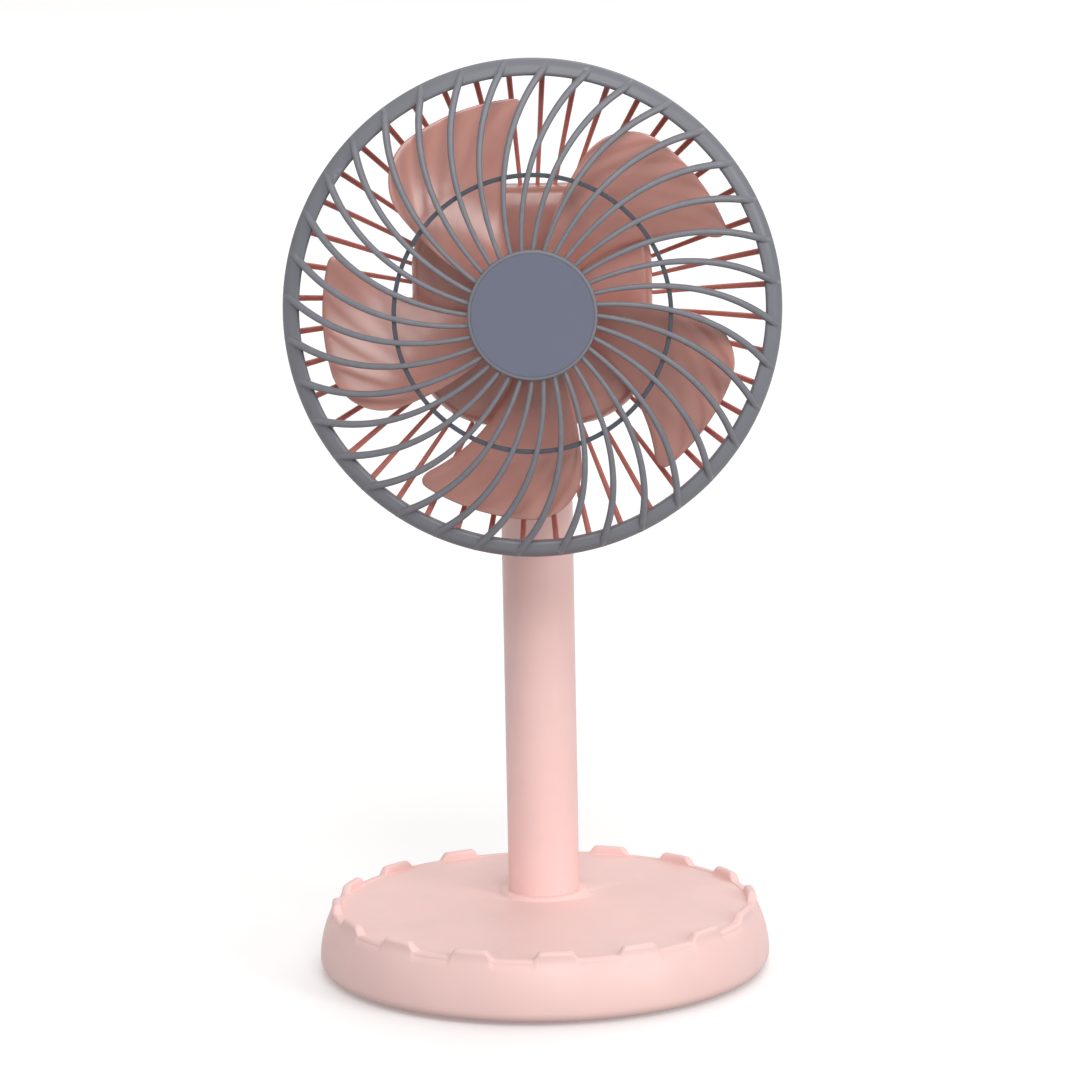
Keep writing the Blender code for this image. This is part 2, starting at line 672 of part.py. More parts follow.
def rib_path(turn, points=6):
    """A front rib: it swirls clockwise and falls back over the dome from the medallion to the rim."""
    path = []
    inner, outer = MEDALLION_R - 0.0007, RIM_R - 0.0008
    for i in range(points):
        share = i / (points - 1)
        radius = inner + (outer - inner) * share
        angle = turn - RIB_SWIRL * (0.8 * share + 0.2 * share**3)
        forward = rib_forward(radius)
        thick = RIB_THIN + (RIB_THICK - RIB_THIN) * share
        path.append(((radius * math.cos(angle), radius * math.sin(angle), forward), thick))
    return path


def rib_forward(radius):
    """How far forward the middle of a rib is, over the dome."""
    share = (radius - MEDALLION_R) / (RIM_R - MEDALLION_R)
    return RIM_DEPTH - 0.0032 + DOME_HEIGHT * (1 - max(0.0, share) ** 2.2)


def make_front_grille(head):
    band = RIM_R - RIM_BAND
    rim = [
        (band, RIM_DEPTH - 0.0008),
        (band + 0.0012, RIM_DEPTH),
        (band + 0.0044, RIM_DEPTH - 0.0010),
        (RIM_R, RIM_DEPTH - 0.0036),
        (RIM_R, GAP / 2),
        (band + 0.0012, GAP / 2),
    ]
    grille = lathe("front_grille", rim, GREY, parent=head, steps=60, ring=True)
    ribs = [rib_path(RIB_TURN + 2 * math.pi * i / RIB_COUNT) for i in range(RIB_COUNT)]
    join(grille, rods_along("front_ribs", ribs, head))
    front = medallion_front()
    medallion = [
        (0, front - BADGE_THICKNESS - GAP),
        (MEDALLION_R - MEDALLION_LIP, front - BADGE_THICKNESS - GAP),
        (MEDALLION_R - MEDALLION_LIP, front),
        (MEDALLION_R - 0.0003, front),
        (MEDALLION_R, front - 0.0005),
        (MEDALLION_R, front - 0.0043),
        (0, front - 0.0043),
    ]
    join(grille, lathe("medallion_plate", medallion, parent=head, steps=36))
    ring_forward = rib_forward(RING_R) - 0.0011
    side = RING_THICKNESS
    section = [(RING_R + side, ring_forward + side), (RING_R + side, ring_forward - side)]
    section += [(RING_R - side, ring_forward - side), (RING_R - side, ring_forward + side)]
    join(grille, lathe("brace_ring", section, parent=head, steps=54, ring=True))


def medallion_front():
    """Forward face of the lip round the badge."""
    return rib_forward(MEDALLION_R) + 0.0022


def make_badge(head):
    front = medallion_front() - 0.0003
    radius = MEDALLION_R - MEDALLION_LIP - GAP
    face = [(0, front), (radius - 0.0005, front), (radius, front - 0.0004)]
    face += [(radius, front - BADGE_THICKNESS + GAP), (0, front - BADGE_THICKNESS + GAP)]
    lathe("grille_badge", face, SLATE, parent=head, steps=32)


def squircle_radius(angle, half=HOUSING_HALF, corner=HOUSING_CORNER):
    """Distance from the middle of a rounded square to its edge, in a direction."""
    fold = abs((angle + math.pi / 4) % (math.pi / 2) - math.pi / 4)
    straight = half - corner
    if half * math.tan(fold) <= straight:
        return half / math.cos(fold)
    along = straight * (math.cos(fold) + math.sin(fold))
    return along + math.sqrt(along**2 - 2 * straight**2 + corner**2)


def squared_lathe(name, profile, material, parent, steps=48):
    """A turned part that changes from round near its axis to the housing's rounded square at its rim."""
    bm = bmesh.new()
    points = [bm.verts.new((radius, 0, height)) for radius, height in profile]
    loop = list(zip(points, points[1:] + points[:1]))
    edges = [bm.edges.new(pair) for pair in loop if pair[0].co.x or pair[1].co.x]
    turn = 2 * math.pi
    bmesh.ops.spin(
        bm,
        geom=points + edges,
        axis=(0, 0, 1),
        cent=(0, 0, 0),
        angle=turn,
        steps=steps,
        use_merge=True,
    )
    bmesh.ops.remove_doubles(bm, verts=bm.verts, dist=0.000001)
    for vert in bm.verts:
        radius = math.hypot(vert.co.x, vert.co.y)
        if radius < HOUSING_ROUND_R:
            continue
        angle = math.atan2(vert.co.y, vert.co.x)
        square = min(1.0, (radius - HOUSING_ROUND_R) / (BACK_HALF - HOUSING_ROUND_R))
        stretch = 1 + square * (squircle_radius(angle) / HOUSING_HALF - 1)
        vert.co.x *= stretch
        vert.co.y *= stretch
    bmesh.ops.recalc_face_normals(bm, faces=bm.faces)
    return place_object(name, mesh_from(bm, name), material, (0, 0, 0), (0, 0, 0), parent)


def spoke_path(angle, points=3):
    """A rear spoke: straight from the front, it bows back from the rear rim to the housing's side."""
    outer = RIM_R - 0.0022
    inner = squircle_radius(angle) - HOUSING_WALL / 2
    path = []
    for i in range(points):
        share = i / (points - 1)
        radius = outer + (inner - outer) * share
        back = -REAR_RIM_DEPTH / 2 - CAGE_SETBACK * math.sin(share * math.pi / 2)
        thick = SPOKE_THICK + (SPOKE_THIN - SPOKE_THICK) * share
        path.append(((radius * math.cos(angle), radius * math.sin(angle), back), thick))
    return path


def corner_places(distance):
    return [(x * distance, y * distance) for x in (-1, 1) for y in (-1, 1)]


def motor_places():
    return [(-0.010, 0), (0.010, 0)]


def make_rear_grille(head):
    """Rear rim, spokes and the motor housing's front shell, moulded as one."""
    outer = RIM_R - 0.0004
    rim = (outer, outer - REAR_RIM_WALL, -REAR_RIM_DEPTH, -GAP / 2)
    grille = tube("rear_grille", *rim, ROSE, parent=head, steps=60)
    angles = [SPOKE_TURN + 2 * math.pi * i / SPOKE_COUNT for i in range(SPOKE_COUNT)]
    join(grille, rods_along("rear_spokes", [spoke_path(angle) for angle in angles], head))
    inner = HOUSING_HALF - HOUSING_WALL
    shell = [
        (0.0052, HOUSING_FRONT),
        (HOUSING_ROUND_R, HOUSING_FRONT),
        (HOUSING_HALF - 0.0088, HOUSING_FRONT - 0.0012),
        (HOUSING_HALF - 0.0028, HOUSING_FRONT - 0.0028),
        (HOUSING_HALF, HOUSING_SHOULDER),
        (HOUSING_HALF, HOUSING_REAR),
        (inner, HOUSING_REAR),
        (inner, HOUSING_SHOULDER),
        (HOUSING_HALF - 0.0048, HOUSING_FRONT - 0.0048),
        (HOUSING_HALF - 0.0098, HOUSING_FRONT - HOUSING_WALL - 0.0012),
        (HOUSING_ROUND_R, HOUSING_FRONT - HOUSING_WALL),
        (0.0052, HOUSING_FRONT - HOUSING_WALL),
    ]
    housing = squared_lathe("housing_shell", shell, None, head)
    cut(housing, pegs("motor_screw_holes", motor_places(), TAP_R, -0.02, 0.0, head))
    places = corner_places(COVER_SCREW_PLACE)
    boss_top = HOUSING_FRONT - HOUSING_WALL - 0.0006
    join(housing, pegs("cover_bosses", places, BOSS_R, HOUSING_REAR, boss_top, head))
    cut(housing, pegs("boss_pilots", places, PILOT_R, BACK_FACE, HOUSING_REAR + 0.009, head))
    join(grille, housing)


def make_back_cover(head):
    rear = HOUSING_REAR - GAP
    outer = HOUSING_HALF
    wall = HOUSING_WALL
    shell = [
        (outer, rear),
        (outer - 0.0012, rear - 0.004),
        (outer - 0.0048, rear - 0.0078),
        (BACK_HALF, BACK_FACE),
        (0, BACK_FACE),
        (0, BACK_FACE + wall),
        (BACK_HALF - 0.001, BACK_FACE + wall),
        (outer - 0.0048 - wall, rear - 0.0062),
        (outer - 0.0012 - wall, rear - 0.003),
        (outer - wall, rear),
    ]
    cover = squared_lathe("motor_back_cover", shell, PINK, head)
    places = corner_places(COVER_SCREW_PLACE)
    cut(cover, pegs("back_screw_holes", places, SCREW_HOLE_R, *THROUGH_BACK, head))
    cut(cover, pegs("knuckle_pilots", knuckle_screw_places(), TAP_R, *THROUGH_BACK, head))
    cut(cover, vent_slots(head))
    cut(cover, pegs("back_wire_hole", [(0, -HINGE_DROP)], LEAD_HOLE_R, *THROUGH_BACK, head))
    for number, (x, y) in enumerate(places, 1):
        screw(f"cover_screw_{number}", (x, y, BACK_FACE - GAP), FACE_DOWN, head, length=0.017)


def vent_slots(head):
    """Cooling slots above the tilt knuckle, right through the back cover."""
    bm = bmesh.new()
    for i in range(VENT_COUNT):
        middle = Matrix.Translation((0, VENT_FIRST + VENT_PITCH * i, BACK_FACE))
        slot = middle @ Matrix.Diagonal((*VENT_SIZE, 1))
        bmesh.ops.create_cube(bm, size=1, matrix=slot)
    return place_object("vent_slots", mesh_from(bm, "vent_slots"), None, (0, 0, 0), (0, 0, 0), head)


def knuckle_screw_places():
    out, up = KNUCKLE_SCREW
    return [(x, -HINGE_DROP + y) for x in (-out, out) for y in (-up, up)]


def make_tilt_knuckle(head):
    """A flange screwed to the back cover, and the tongue that the hinge bolt goes through."""
    flange_front = BACK_FACE - GAP
    flange_back = flange_front - KNUCKLE_FLANGE
    half_x, half_y = KNUCKLE_HALF
    low = (-half_x, -HINGE_DROP - half_y, flange_back)
    knuckle = box("tilt_knuckle", low, (half_x, -HINGE_DROP + half_y, flange_front), PINK, head)
    hinge = (0, -HINGE_DROP, -HEAD_FORWARD)
    web_low = (-TONGUE_HALF, -HINGE_DROP - TONGUE_WEB_HALF, -HEAD_FORWARD)
    web_high = (TONGUE_HALF, -HINGE_DROP + TONGUE_WEB_HALF, flange_back + 0.001)
    join(knuckle, box("tongue_web", web_low, web_high, parent=head))
    eye = (TONGUE_R, -TONGUE_HALF, TONGUE_HALF)
    join(knuckle, rod("tongue_eye", *eye, place=hinge, turn=FACE_RIGHT, parent=head, steps=28))
    bore = (HINGE_BOLT_R + RUN, -0.03, 0.03)
    cut(knuckle, rod("tongue_bore", *bore, place=hinge, turn=FACE_RIGHT, parent=head, steps=16))
    cut(knuckle, pegs("knuckle_screw_holes", knuckle_screw_places(), SCREW_HOLE_R, *THROUGH_BACK, head))
    cut(knuckle, pegs("lead_channel", [(0, -HINGE_DROP)], LEAD_HOLE_R, *THROUGH_BACK, head))
    for number, (x, y) in enumerate(knuckle_screw_places(), 1):
        place = (x, y, flange_back - GAP)
        screw(f"knuckle_screw_{number}", place, FACE_DOWN, head, length=0.0055, shank_r=0.0012)


def make_motor(head, rotor):
    front, rear = MOTOR_FRONT, MOTOR_REAR
    can = [
        (0.0048, front + 0.0016),
        (0.0048, front),
        (MOTOR_R - 0.001, front),
        (MOTOR_R, front - 0.001),
        (MOTOR_R, rear),
        (MOTOR_R - MOTOR_WALL, rear),
        (MOTOR_R - MOTOR_WALL, front - 0.0014),
        (BUSH_R + GAP, front - 0.0014),
        (BUSH_R + GAP, front + 0.0016),
    ]
    motor_can = lathe("motor_can", can, STEEL, parent=head, steps=28, ring=True)
    cut(motor_can, pegs("motor_taps", motor_places(), TAP_R, front - 0.01, front + 0.01, head))
    for number, (x, y) in enumerate(motor_places(), 1):
        place = (x, y, HOUSING_FRONT + GAP)
        sizes = {"shank_r": 0.0011, "length": 0.0034, "head_r": 0.0023}
        screw(f"motor_screw_{number}", place, (0, 0, 0), head, **sizes)
    bush = (BUSH_R, SHAFT_R + RUN)
    tube("front_bush", *bush, front - 0.0024, front + 0.0012, BRONZE, parent=head, steps=16)
    bell = [
        (MOTOR_R - 0.0004, rear - GAP),
        (MOTOR_R - 0.0004, rear - 0.0018),
        (0.0052, rear - 0.0018),
        (0.0052, rear - BELL_BOSS),
        (BUSH_R + GAP, rear - BELL_BOSS),
        (BUSH_R + GAP, rear - GAP),
    ]
    lathe("motor_end_bell", bell, BLACK, parent=head, steps=24, ring=True)
    tube("rear_bush", *bush, rear - 0.0040, rear - 0.0004, BRONZE, parent=head, steps=16)
    magnet_middle = (front + rear) / 2 - 0.0006
    magnet_out = MOTOR_R - MOTOR_WALL - GAP
    for name, middle in (("magnet_left", math.pi), ("magnet_right", 0.0)):
        outline = arc_band(magnet_out, magnet_out - MAGNET_WALL, middle, math.radians(64))
        plate(name, [outline], MAGNET_LENGTH, MAGNET, place=(0, 0, magnet_middle), parent=head)
    laminations = [armature_outline(), circle(SHAFT_R + RUN, 16)]
    plate("armature", laminations, ARMATURE_LENGTH, STEEL, place=(0, 0, magnet_middle), parent=rotor)
    make_windings(rotor, magnet_middle)
    low = magnet_middle - ARMATURE_LENGTH / 2 - 0.0004
    tube("commutator", 0.0034, SHAFT_R + RUN, low - 0.0032, low, COPPER, parent=rotor, steps=18)
    rod("motor_shaft", SHAFT_R, rear - 0.0036, HUB_FRONT - 0.003, STEEL, parent=rotor, steps=16)


def arc_band(outer, inner, middle, half_angle, count=7):
    """Outline of a slice of a ring."""
    turns = [middle - half_angle + 2 * half_angle * i / (count - 1) for i in range(count)]
    outside = [(outer * math.cos(a), outer * math.sin(a)) for a in turns]
    inside = [(inner * math.cos(a), inner * math.sin(a)) for a in reversed(turns)]
    return outside + inside


def armature_turns():
    return [2 * math.pi * i / ARMATURE_POLES for i in range(ARMATURE_POLES)]


def armature_outline():
    """T-shaped poles on a core, as the armature's laminations are punched."""
    outline = []
    shoe = SHOE_HALF_ANGLE
    for turn in armature_turns():
        local = [(POLE_CORE, -POLE_WAIST), (SHOE_INNER, -POLE_WAIST)]
        local += [(SHOE_INNER * math.cos(shoe), -SHOE_INNER * math.sin(shoe))]
        tip = [shoe * (2 * i / 6 - 1) for i in range(7)]
        local += [(ARMATURE_R * math.cos(a), ARMATURE_R * math.sin(a)) for a in tip]
        local += [(SHOE_INNER * math.cos(shoe), SHOE_INNER * math.sin(shoe))]
        local += [(SHOE_INNER, POLE_WAIST), (POLE_CORE, POLE_WAIST)]
        c, s = math.cos(turn), math.sin(turn)
        outline += [(x * c - y * s, x * s + y * c) for x, y in local]
    return outline


def make_windings(rotor, middle):
    """A copper coil round the waist of each armature pole."""
    across = POLE_WAIST + 0.0022
    length = ARMATURE_LENGTH / 2 + 0.0018
    for number, turn in enumerate(armature_turns(), 1):
        outer = [(-across, -length), (across, -length), (across, length), (-across, length)]
        hole_x, hole_y = POLE_WAIST + GAP, ARMATURE_LENGTH / 2 + GAP
        inner = [(-hole_x, -hole_y), (hole_x, -hole_y), (hole_x, hole_y), (-hole_x, hole_y)]
        distance = (POLE_CORE + SHOE_INNER) / 2 - 0.0002
        place = (distance * math.cos(turn), distance * math.sin(turn), middle)
        coil = plate(f"winding_{number}", [outer, inner], 0.0024, COPPER, place=place, parent=rotor)
        facing_out = Matrix(((0, 0, 1), (1, 0, 0), (0, 1, 0)))
        coil.rotation_euler = (Matrix.Rotation(turn, 3, "Z") @ facing_out).to_euler()


def blade_edges(radius):
    """Angles of a blade's leading and trailing edges at a radius."""
    share = max(0.0, (radius - HUB_R) / (BLADE_TIP_R - HUB_R))
    lead = BLADE_DATUM - LEAD_SWEEP * share**1.4
    trail = BLADE_DATUM + BLADE_ROOT_SPAN - TRAIL_SWEEP * share**1.1
    return lead, trail


def blade_middle():
    """How far forward the middle of a blade is: its trailing edge stays clear of the ribs."""
    ribs = rib_forward(BLADE_TIP_R - TRAIL_CORNER) - RIB_THICK
    return ribs - BLADE_TO_RIB - BLADE_THICKNESS / 2 - BLADE_RISE


def blade_tip(across):
    """Radius of the tip at a place across the blade, with its two corners rounded."""
    lead, trail = blade_edges(BLADE_TIP_R)
    half_width = BLADE_TIP_R * (trail - lead) / 2
    corner = TRAIL_CORNER if across > 0 else LEAD_CORNER
    into = max(0.0, abs(across) * half_width - (half_width - corner))
    return BLADE_TIP_R - corner + math.sqrt(max(0.0, corner**2 - into**2))


def blade_point(along, across):
    """A point on a blade: along 0 at the hub to 1 at the tip, across -1 leading to 1 trailing."""
    root = HUB_R - 0.4 * HUB_WALL
    radius = root + (blade_tip(across) - root) * along
    lead, trail = blade_edges(radius)
    angle = lead + (trail - lead) * (across + 1) / 2
    share = (radius - root) / (BLADE_TIP_R - root)
    rise = BLADE_RISE + BLADE_EXTRA_RISE * math.sin(math.pi * share)
    forward = blade_middle() + rise * across - BLADE_CAMBER * (1 - across**2)
    return radius, angle, forward


def blade_surfaces(rotor):
    """The blades as open sheets, thickened both ways."""
    bm = bmesh.new()
    for i in range(BLADE_COUNT):
        turn = 2 * math.pi * i / BLADE_COUNT
        grid = bmesh.ops.create_grid(bm, x_segments=7, y_segments=5, size=1)
        for vert in grid["verts"]:
            radius, angle, forward = blade_point((vert.co.y + 1) / 2, vert.co.x)
            vert.co = (radius * math.cos(angle + turn), radius * math.sin(angle + turn), forward)
    blades = place_object("blades", mesh_from(bm, "blades"), None, (0, 0, 0), (0, 0, 0), rotor)
    solidify = blades.modifiers.new("thickness", "SOLIDIFY")
    solidify.thickness = BLADE_THICKNESS
    solidify.offset = 0
    return blades


def make_fan_blade(rotor):
    """The impeller: a cup-shaped hub on the motor shaft, with five pitched blades."""
    inner = HUB_R - HUB_WALL
    bore = SHAFT_R + RUN / 2
    hub = [
        (bore, HUB_FRONT),
        (HUB_R - 0.004, HUB_FRONT),
        (HUB_R - 0.001, HUB_FRONT - 0.0012),
        (HUB_R, HUB_FRONT - 0.004),
        (HUB_R, HUB_REAR),
        (inner, HUB_REAR),
        (inner, HUB_FRONT - 0.003),
        (0.0045, HUB_FRONT - 0.003),
        (0.0045, HUB_REAR + 0.002),
        (bore, HUB_REAR + 0.002),
    ]
    impeller = lathe("fan_blade", hub, ROSE, parent=rotor, steps=30, ring=True)
    join(impeller, blade_surfaces(rotor))


def make_head_lead(head):
    """The lead inside the head: from the knuckle's channel to the motor's end bell."""
    up = -HINGE_DROP
    across = MOTOR_REAR - 0.0031
    route = [(0, up, BACK_FACE - 0.010), (0, up, across - 0.0022), (0, up + 0.0012, across - 0.0006)]
    route += [(0, up + 0.0035, across), (0, -MOTOR_R + 0.003, across)]
    lead = rods_along("motor_lead", [[(point, 0.0010) for point in route]], head, sides=2)
    lead.data.materials.append(BLACK)


def build():
    make_base_shell()
    make_base_underside()
    make_battery()
    make_electronics()
    make_pole()
    make_yoke()
    make_hinge_hardware()
    make_supply_lead()
    tilt_axis = new_empty("tilt_axis", (0, POLE_Y, HINGE_Z))
    head = new_empty("head_frame", (0, -HEAD_FORWARD, HINGE_DROP), FACE_FORWARD, tilt_axis)
    rotor = new_empty("spin_axis", (0, 0, 0), parent=head)
    make_front_grille(head)
    make_badge(head)
    make_rear_grille(head)
    make_back_cover(head)
    make_tilt_knuckle(head)
    make_motor(head, rotor)
    make_fan_blade(rotor)
    make_head_lead(head)


build()
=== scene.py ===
"""Finished look of the pink desk fan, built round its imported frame.

Metres, in the frame's axes: +Z up, and the fan's front faces -Y. Head pieces are made in the head's own
axes, X right, Y up and Z forward from the blade axis at the plane where the cage rims meet.
"""

import math

import bmesh
import bpy
from mathutils import Matrix, Vector


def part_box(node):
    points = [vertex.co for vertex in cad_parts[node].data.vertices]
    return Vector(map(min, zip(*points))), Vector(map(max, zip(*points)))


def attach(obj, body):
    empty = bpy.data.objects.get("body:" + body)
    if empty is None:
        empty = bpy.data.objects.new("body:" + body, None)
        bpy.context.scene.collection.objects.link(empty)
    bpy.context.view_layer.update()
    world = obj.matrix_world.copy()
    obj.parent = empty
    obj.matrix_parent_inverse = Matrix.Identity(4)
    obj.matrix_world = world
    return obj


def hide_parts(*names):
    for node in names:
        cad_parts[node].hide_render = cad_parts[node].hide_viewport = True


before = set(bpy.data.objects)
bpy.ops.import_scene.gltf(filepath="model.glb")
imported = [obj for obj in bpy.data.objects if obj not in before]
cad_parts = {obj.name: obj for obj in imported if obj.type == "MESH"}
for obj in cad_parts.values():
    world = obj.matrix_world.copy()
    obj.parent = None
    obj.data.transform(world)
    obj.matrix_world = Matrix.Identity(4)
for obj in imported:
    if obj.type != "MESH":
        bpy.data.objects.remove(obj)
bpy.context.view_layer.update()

# Clearances: between separate pieces, in a turning fit, and in a fit that shows no gap
GAP = 0.0003
RUN = 0.0001
SNUG = 0.00003

# Base
BASE_R = 0.091
BASE_TOP_R = 0.0861
BASE_LIP_R = 0.0862
BASE_TOP_Z = 0.0251
BASE_WIDEST_Z = 0.006
BASE_EDGE_Z = 0.0015
BASE_WALL = 0.0024
PLATE_UNDERSIDE = BASE_TOP_Z - BASE_WALL
INNER_FLOOR_Z = 0.0046
MERLON_COUNT = 16
MERLON_HEIGHT = 0.0035
MERLON_DEPTH = 0.0038
MERLON_SHARE = 0.46
MERLON_TURN = math.radians(3)
MERLON_SILL = 0.0004
COVER_LOW = 0.002
COVER_HIGH = 0.0043
POST_R = 0.0032
POST_CIRCLE_R = 0.078
FOOT_CIRCLE_R = 0.067
FOOT_R = 0.0075
FOOT_HEIGHT = 0.0017
BUTTON_X = 0.014
BUTTON_Z = 0.0164
BUTTON_R = 0.004
BUTTON_FLANGE_R = BUTTON_R + 0.0012
BUTTON_FLANGE = 0.0012
BUTTON_STEM = 0.0020
SOCKET_X = -0.010
SOCKET_Z = (0.0131, 0.0171)
SOCKET_HALF = 0.0048
SOCKET_CORNER = 0.0019
BASE_BACK_Y = 0.086

# Pole and hinge
POLE_Y = 0.020
POLE_R = 0.0145
POLE_WALL = 0.0018
POLE_LOW = 0.0175
POLE_HIGH = 0.2322
COLLAR_R = 0.0185
COLLAR_HEIGHT = 0.0014
ANCHOR_R = 0.0215
ANCHOR_TOP = 0.0172
HINGE_Z = 0.247
EAR_R = 0.012
EAR_OUTER_X = 0.0126
TONGUE_HALF = 0.007
TONGUE_R = 0.0098
TONGUE_WEB_HALF = 0.0075
WASHER_THICKNESS = 0.0008
HINGE_BOLT_R = 0.002
CAP_R = 0.0066
CAP_HEIGHT = 0.0036
KNUCKLE_HALF = (0.0132, 0.014)
KNUCKLE_FLANGE = 0.003
KNUCKLE_SCREW = (0.0098, 0.0105)
HINGE_DROP = 0.024
HEAD_FORWARD = 0.067
HEAD_Z = 0.271
YOKE_PLUG = 0.025
WIRE_HOLE_R = 0.004

# Cage
RIM_R = 0.095
RIM_BAND = 0.0066
RIM_DEPTH = 0.0092
RIB_COUNT = 36
RIB_TURN = math.radians(8.75)
RIB_SWIRL = math.radians(23.7)
RIB_THIN = 0.00085
RIB_THICK = 0.00145
RIB_SINK = 0.0011
DOME_HEIGHT = 0.020
MEDALLION_R = 0.0244
MEDALLION_LIP = 0.0012
BADGE_THICKNESS = 0.0017
RING_R = 0.0520
RING_THICKNESS = 0.00085
SPOKE_COUNT = 44
SPOKE_TURN = math.radians(4.75)
SPOKE_THIN = 0.0008
SPOKE_THICK = 0.0012
REAR_RIM_DEPTH = 0.0088
REAR_RIM_WALL = 0.003
CAGE_SETBACK = 0.015

# Motor housing and blades
HOUSING_HALF = 0.0463
HOUSING_CORNER = 0.0316
HOUSING_ROUND_R = 0.43 * HOUSING_HALF
HOUSING_WALL = 0.0022
HOUSING_FRONT = -0.008
HOUSING_SHOULDER = -0.0135
HOUSING_REAR = -0.030
BACK_FACE = -0.040
BACK_HALF = 0.0365
THROUGH_BACK = (BACK_FACE - 0.014, BACK_FACE + 0.006)
COVER_SCREW_PLACE = 0.025
SCREW_HOLE_R = 0.0016
PILOT_R = 0.0015
TAP_R = 0.0014
LEAD_HOLE_R = 0.0022
BOSS_R = 0.0034
MOTOR_SCREW_X = 0.010
MOTOR_HOLE_R = 0.0052
VENT_COUNT = 5
VENT_FIRST = 0.004
VENT_PITCH = 0.0048
VENT_SIZE = (0.030, 0.0018)
HUB_R = 0.021
HUB_WALL = 0.0022
HUB_FRONT = 0.0185
HUB_REAR = -0.0035
SHAFT_BORE = 0.00155
BLADE_COUNT = 5
BLADE_TIP_R = 0.0800
BLADE_DATUM = math.radians(38.5)
BLADE_ROOT_SPAN = math.radians(41.5)
LEAD_SWEEP = math.radians(21)
TRAIL_SWEEP = math.radians(14)
LEAD_CORNER = 0.007
TRAIL_CORNER = 0.019
BLADE_TO_RIB = 0.0046
BLADE_RISE = 0.0075
BLADE_EXTRA_RISE = 0.0015
BLADE_CAMBER = 0.0016
BLADE_THICKNESS = 0.0016

# Radiance of the studio's surroundings, low down and overhead
WORLD_BELOW = 0.32
WORLD_ABOVE = 0.57

# Each lamp's name, the direction it shines from, its strength, and its width in degrees
LAMPS = (
    ("key", (0.10, -0.80, 0.60), 1.20, 34),
    ("kicker", (0.73, -0.58, 0.30), 0.95, 20),
    ("fill", (-0.85, -0.45, 0.25), 0.20, 50),
    ("back", (0.30, 0.90, 0.90), 0.55, 50),
)

CAMERA_AT = (0.0046, -1.358, 0.3881)
CAMERA_HEADING = 0.0026
CAMERA_DOWN = 0.1561
CAMERA_ROLL = -0.0189
LENS_MM = 114.79
SENSOR_MM = 36.0

IDENTITY = Matrix.Identity(4)

# Turns that point a part's Z at the fan's front, its back, along the hinge, and the other way
TO_FRONT = Matrix.Rotation(math.pi / 2, 4, "X")
TO_BACK = Matrix.Rotation(-math.pi / 2, 4, "X")
TO_SIDE = Matrix.Rotation(math.pi / 2, 4, "Y")
TURNED_OVER = Matrix.Rotation(math.pi, 4, "X")

# The head's axes, the hinge and the pole's axis, each in the frame's axes
HEAD = Matrix.Translation((0, POLE_Y - HEAD_FORWARD, HEAD_Z)) @ TO_FRONT
HINGE = Matrix.Translation((0, POLE_Y, HINGE_Z)) @ TO_SIDE
AT_POLE = Matrix.Translation((0, POLE_Y, 0))


# Modelling helpers


def srgb(red, green, blue):
    """A 0 to 255 screen colour as the linear values that shaders take."""
    values = (value / 255 for value in (red, green, blue))
    return tuple(v / 12.92 if v <= 0.04045 else ((v + 0.055) / 1.055) ** 2.4 for v in values)


def polar(radius, angle, *rest):
    """A point at a radius and an angle round Z, with any further values after it."""
    return (radius * math.cos(angle), radius * math.sin(angle), *rest)


def new_object(name, verts, faces, matrix=IDENTITY):
    """A mesh object with its faces turned outwards."""
    mesh = bpy.data.meshes.new(name)
    mesh.from_pydata([matrix @ Vector(v) for v in verts], [], faces)
    obj = bpy.data.objects.new(name, mesh)
    bpy.context.scene.collection.objects.link(obj)
    face_outwards(obj)
    return obj


def face_outwards(obj, weld=False):
    """Turns a mesh's faces outwards, after making points that coincide one if weld is set."""
    bm = bmesh.new()
    bm.from_mesh(obj.data)
    if weld:
        bmesh.ops.remove_doubles(bm, verts=bm.verts, dist=1e-6)
    bmesh.ops.recalc_face_normals(bm, faces=bm.faces)
    bm.to_mesh(obj.data)
    bm.free()


def rounded(points, segments=5):
    """A section with its corners rounded. A point is (radius, height) or (radius, height, rounding)."""
    outline = []
    for i, point in enumerate(points):
        here = Vector(point[:2])
        if len(point) == 2:
            outline.append(tuple(here))
            continue
        before = Vector(points[i - 1][:2]) - here
        after = Vector(points[(i + 1) % len(points)][:2]) - here
        size = min(point[2], 0.48 * before.length, 0.48 * after.length)
        start = here + before.normalized() * size
        end = here + after.normalized() * size
        for k in range(segments + 1):
            t = k / segments
            outline.append(tuple(start * (1 - t) ** 2 + here * (2 * t * (1 - t)) + end * t**2))
    return outline


def revolve(name, section, steps=128, closed=True, matrix=IDENTITY, stretch=None):
    """Sweeps a section round Z. Points on the axis become one vertex, and a closed section's last point
    joins its first. stretch(angle, radius) scales a radius."""
    verts, rings = [], []
    for radius, height in section:
        if radius < 1e-7:
            rings.append([len(verts)] * steps)
            verts.append((0, 0, height))
            continue
        rings.append(list(range(len(verts), len(verts) + steps)))
        for k in range(steps):
            angle = 2 * math.pi * k / steps
            reach = radius * stretch(angle, radius) if stretch else radius
            verts.append(polar(reach, angle, height))
    faces = []
    following = rings[1:] + rings[:1] if closed else rings[1:]
    for upper, lower in zip(rings, following):
        for k in range(steps):
            after = (k + 1) % steps
            corners = list(dict.fromkeys((upper[k], lower[k], lower[after], upper[after])))
            if len(corners) > 2:
                faces.append(corners)
    return new_object(name, verts, faces, matrix)


def disc(name, section, **options):
    """A turned part whose section starts and ends on the axis."""
    return revolve(name, section, closed=False, **options)


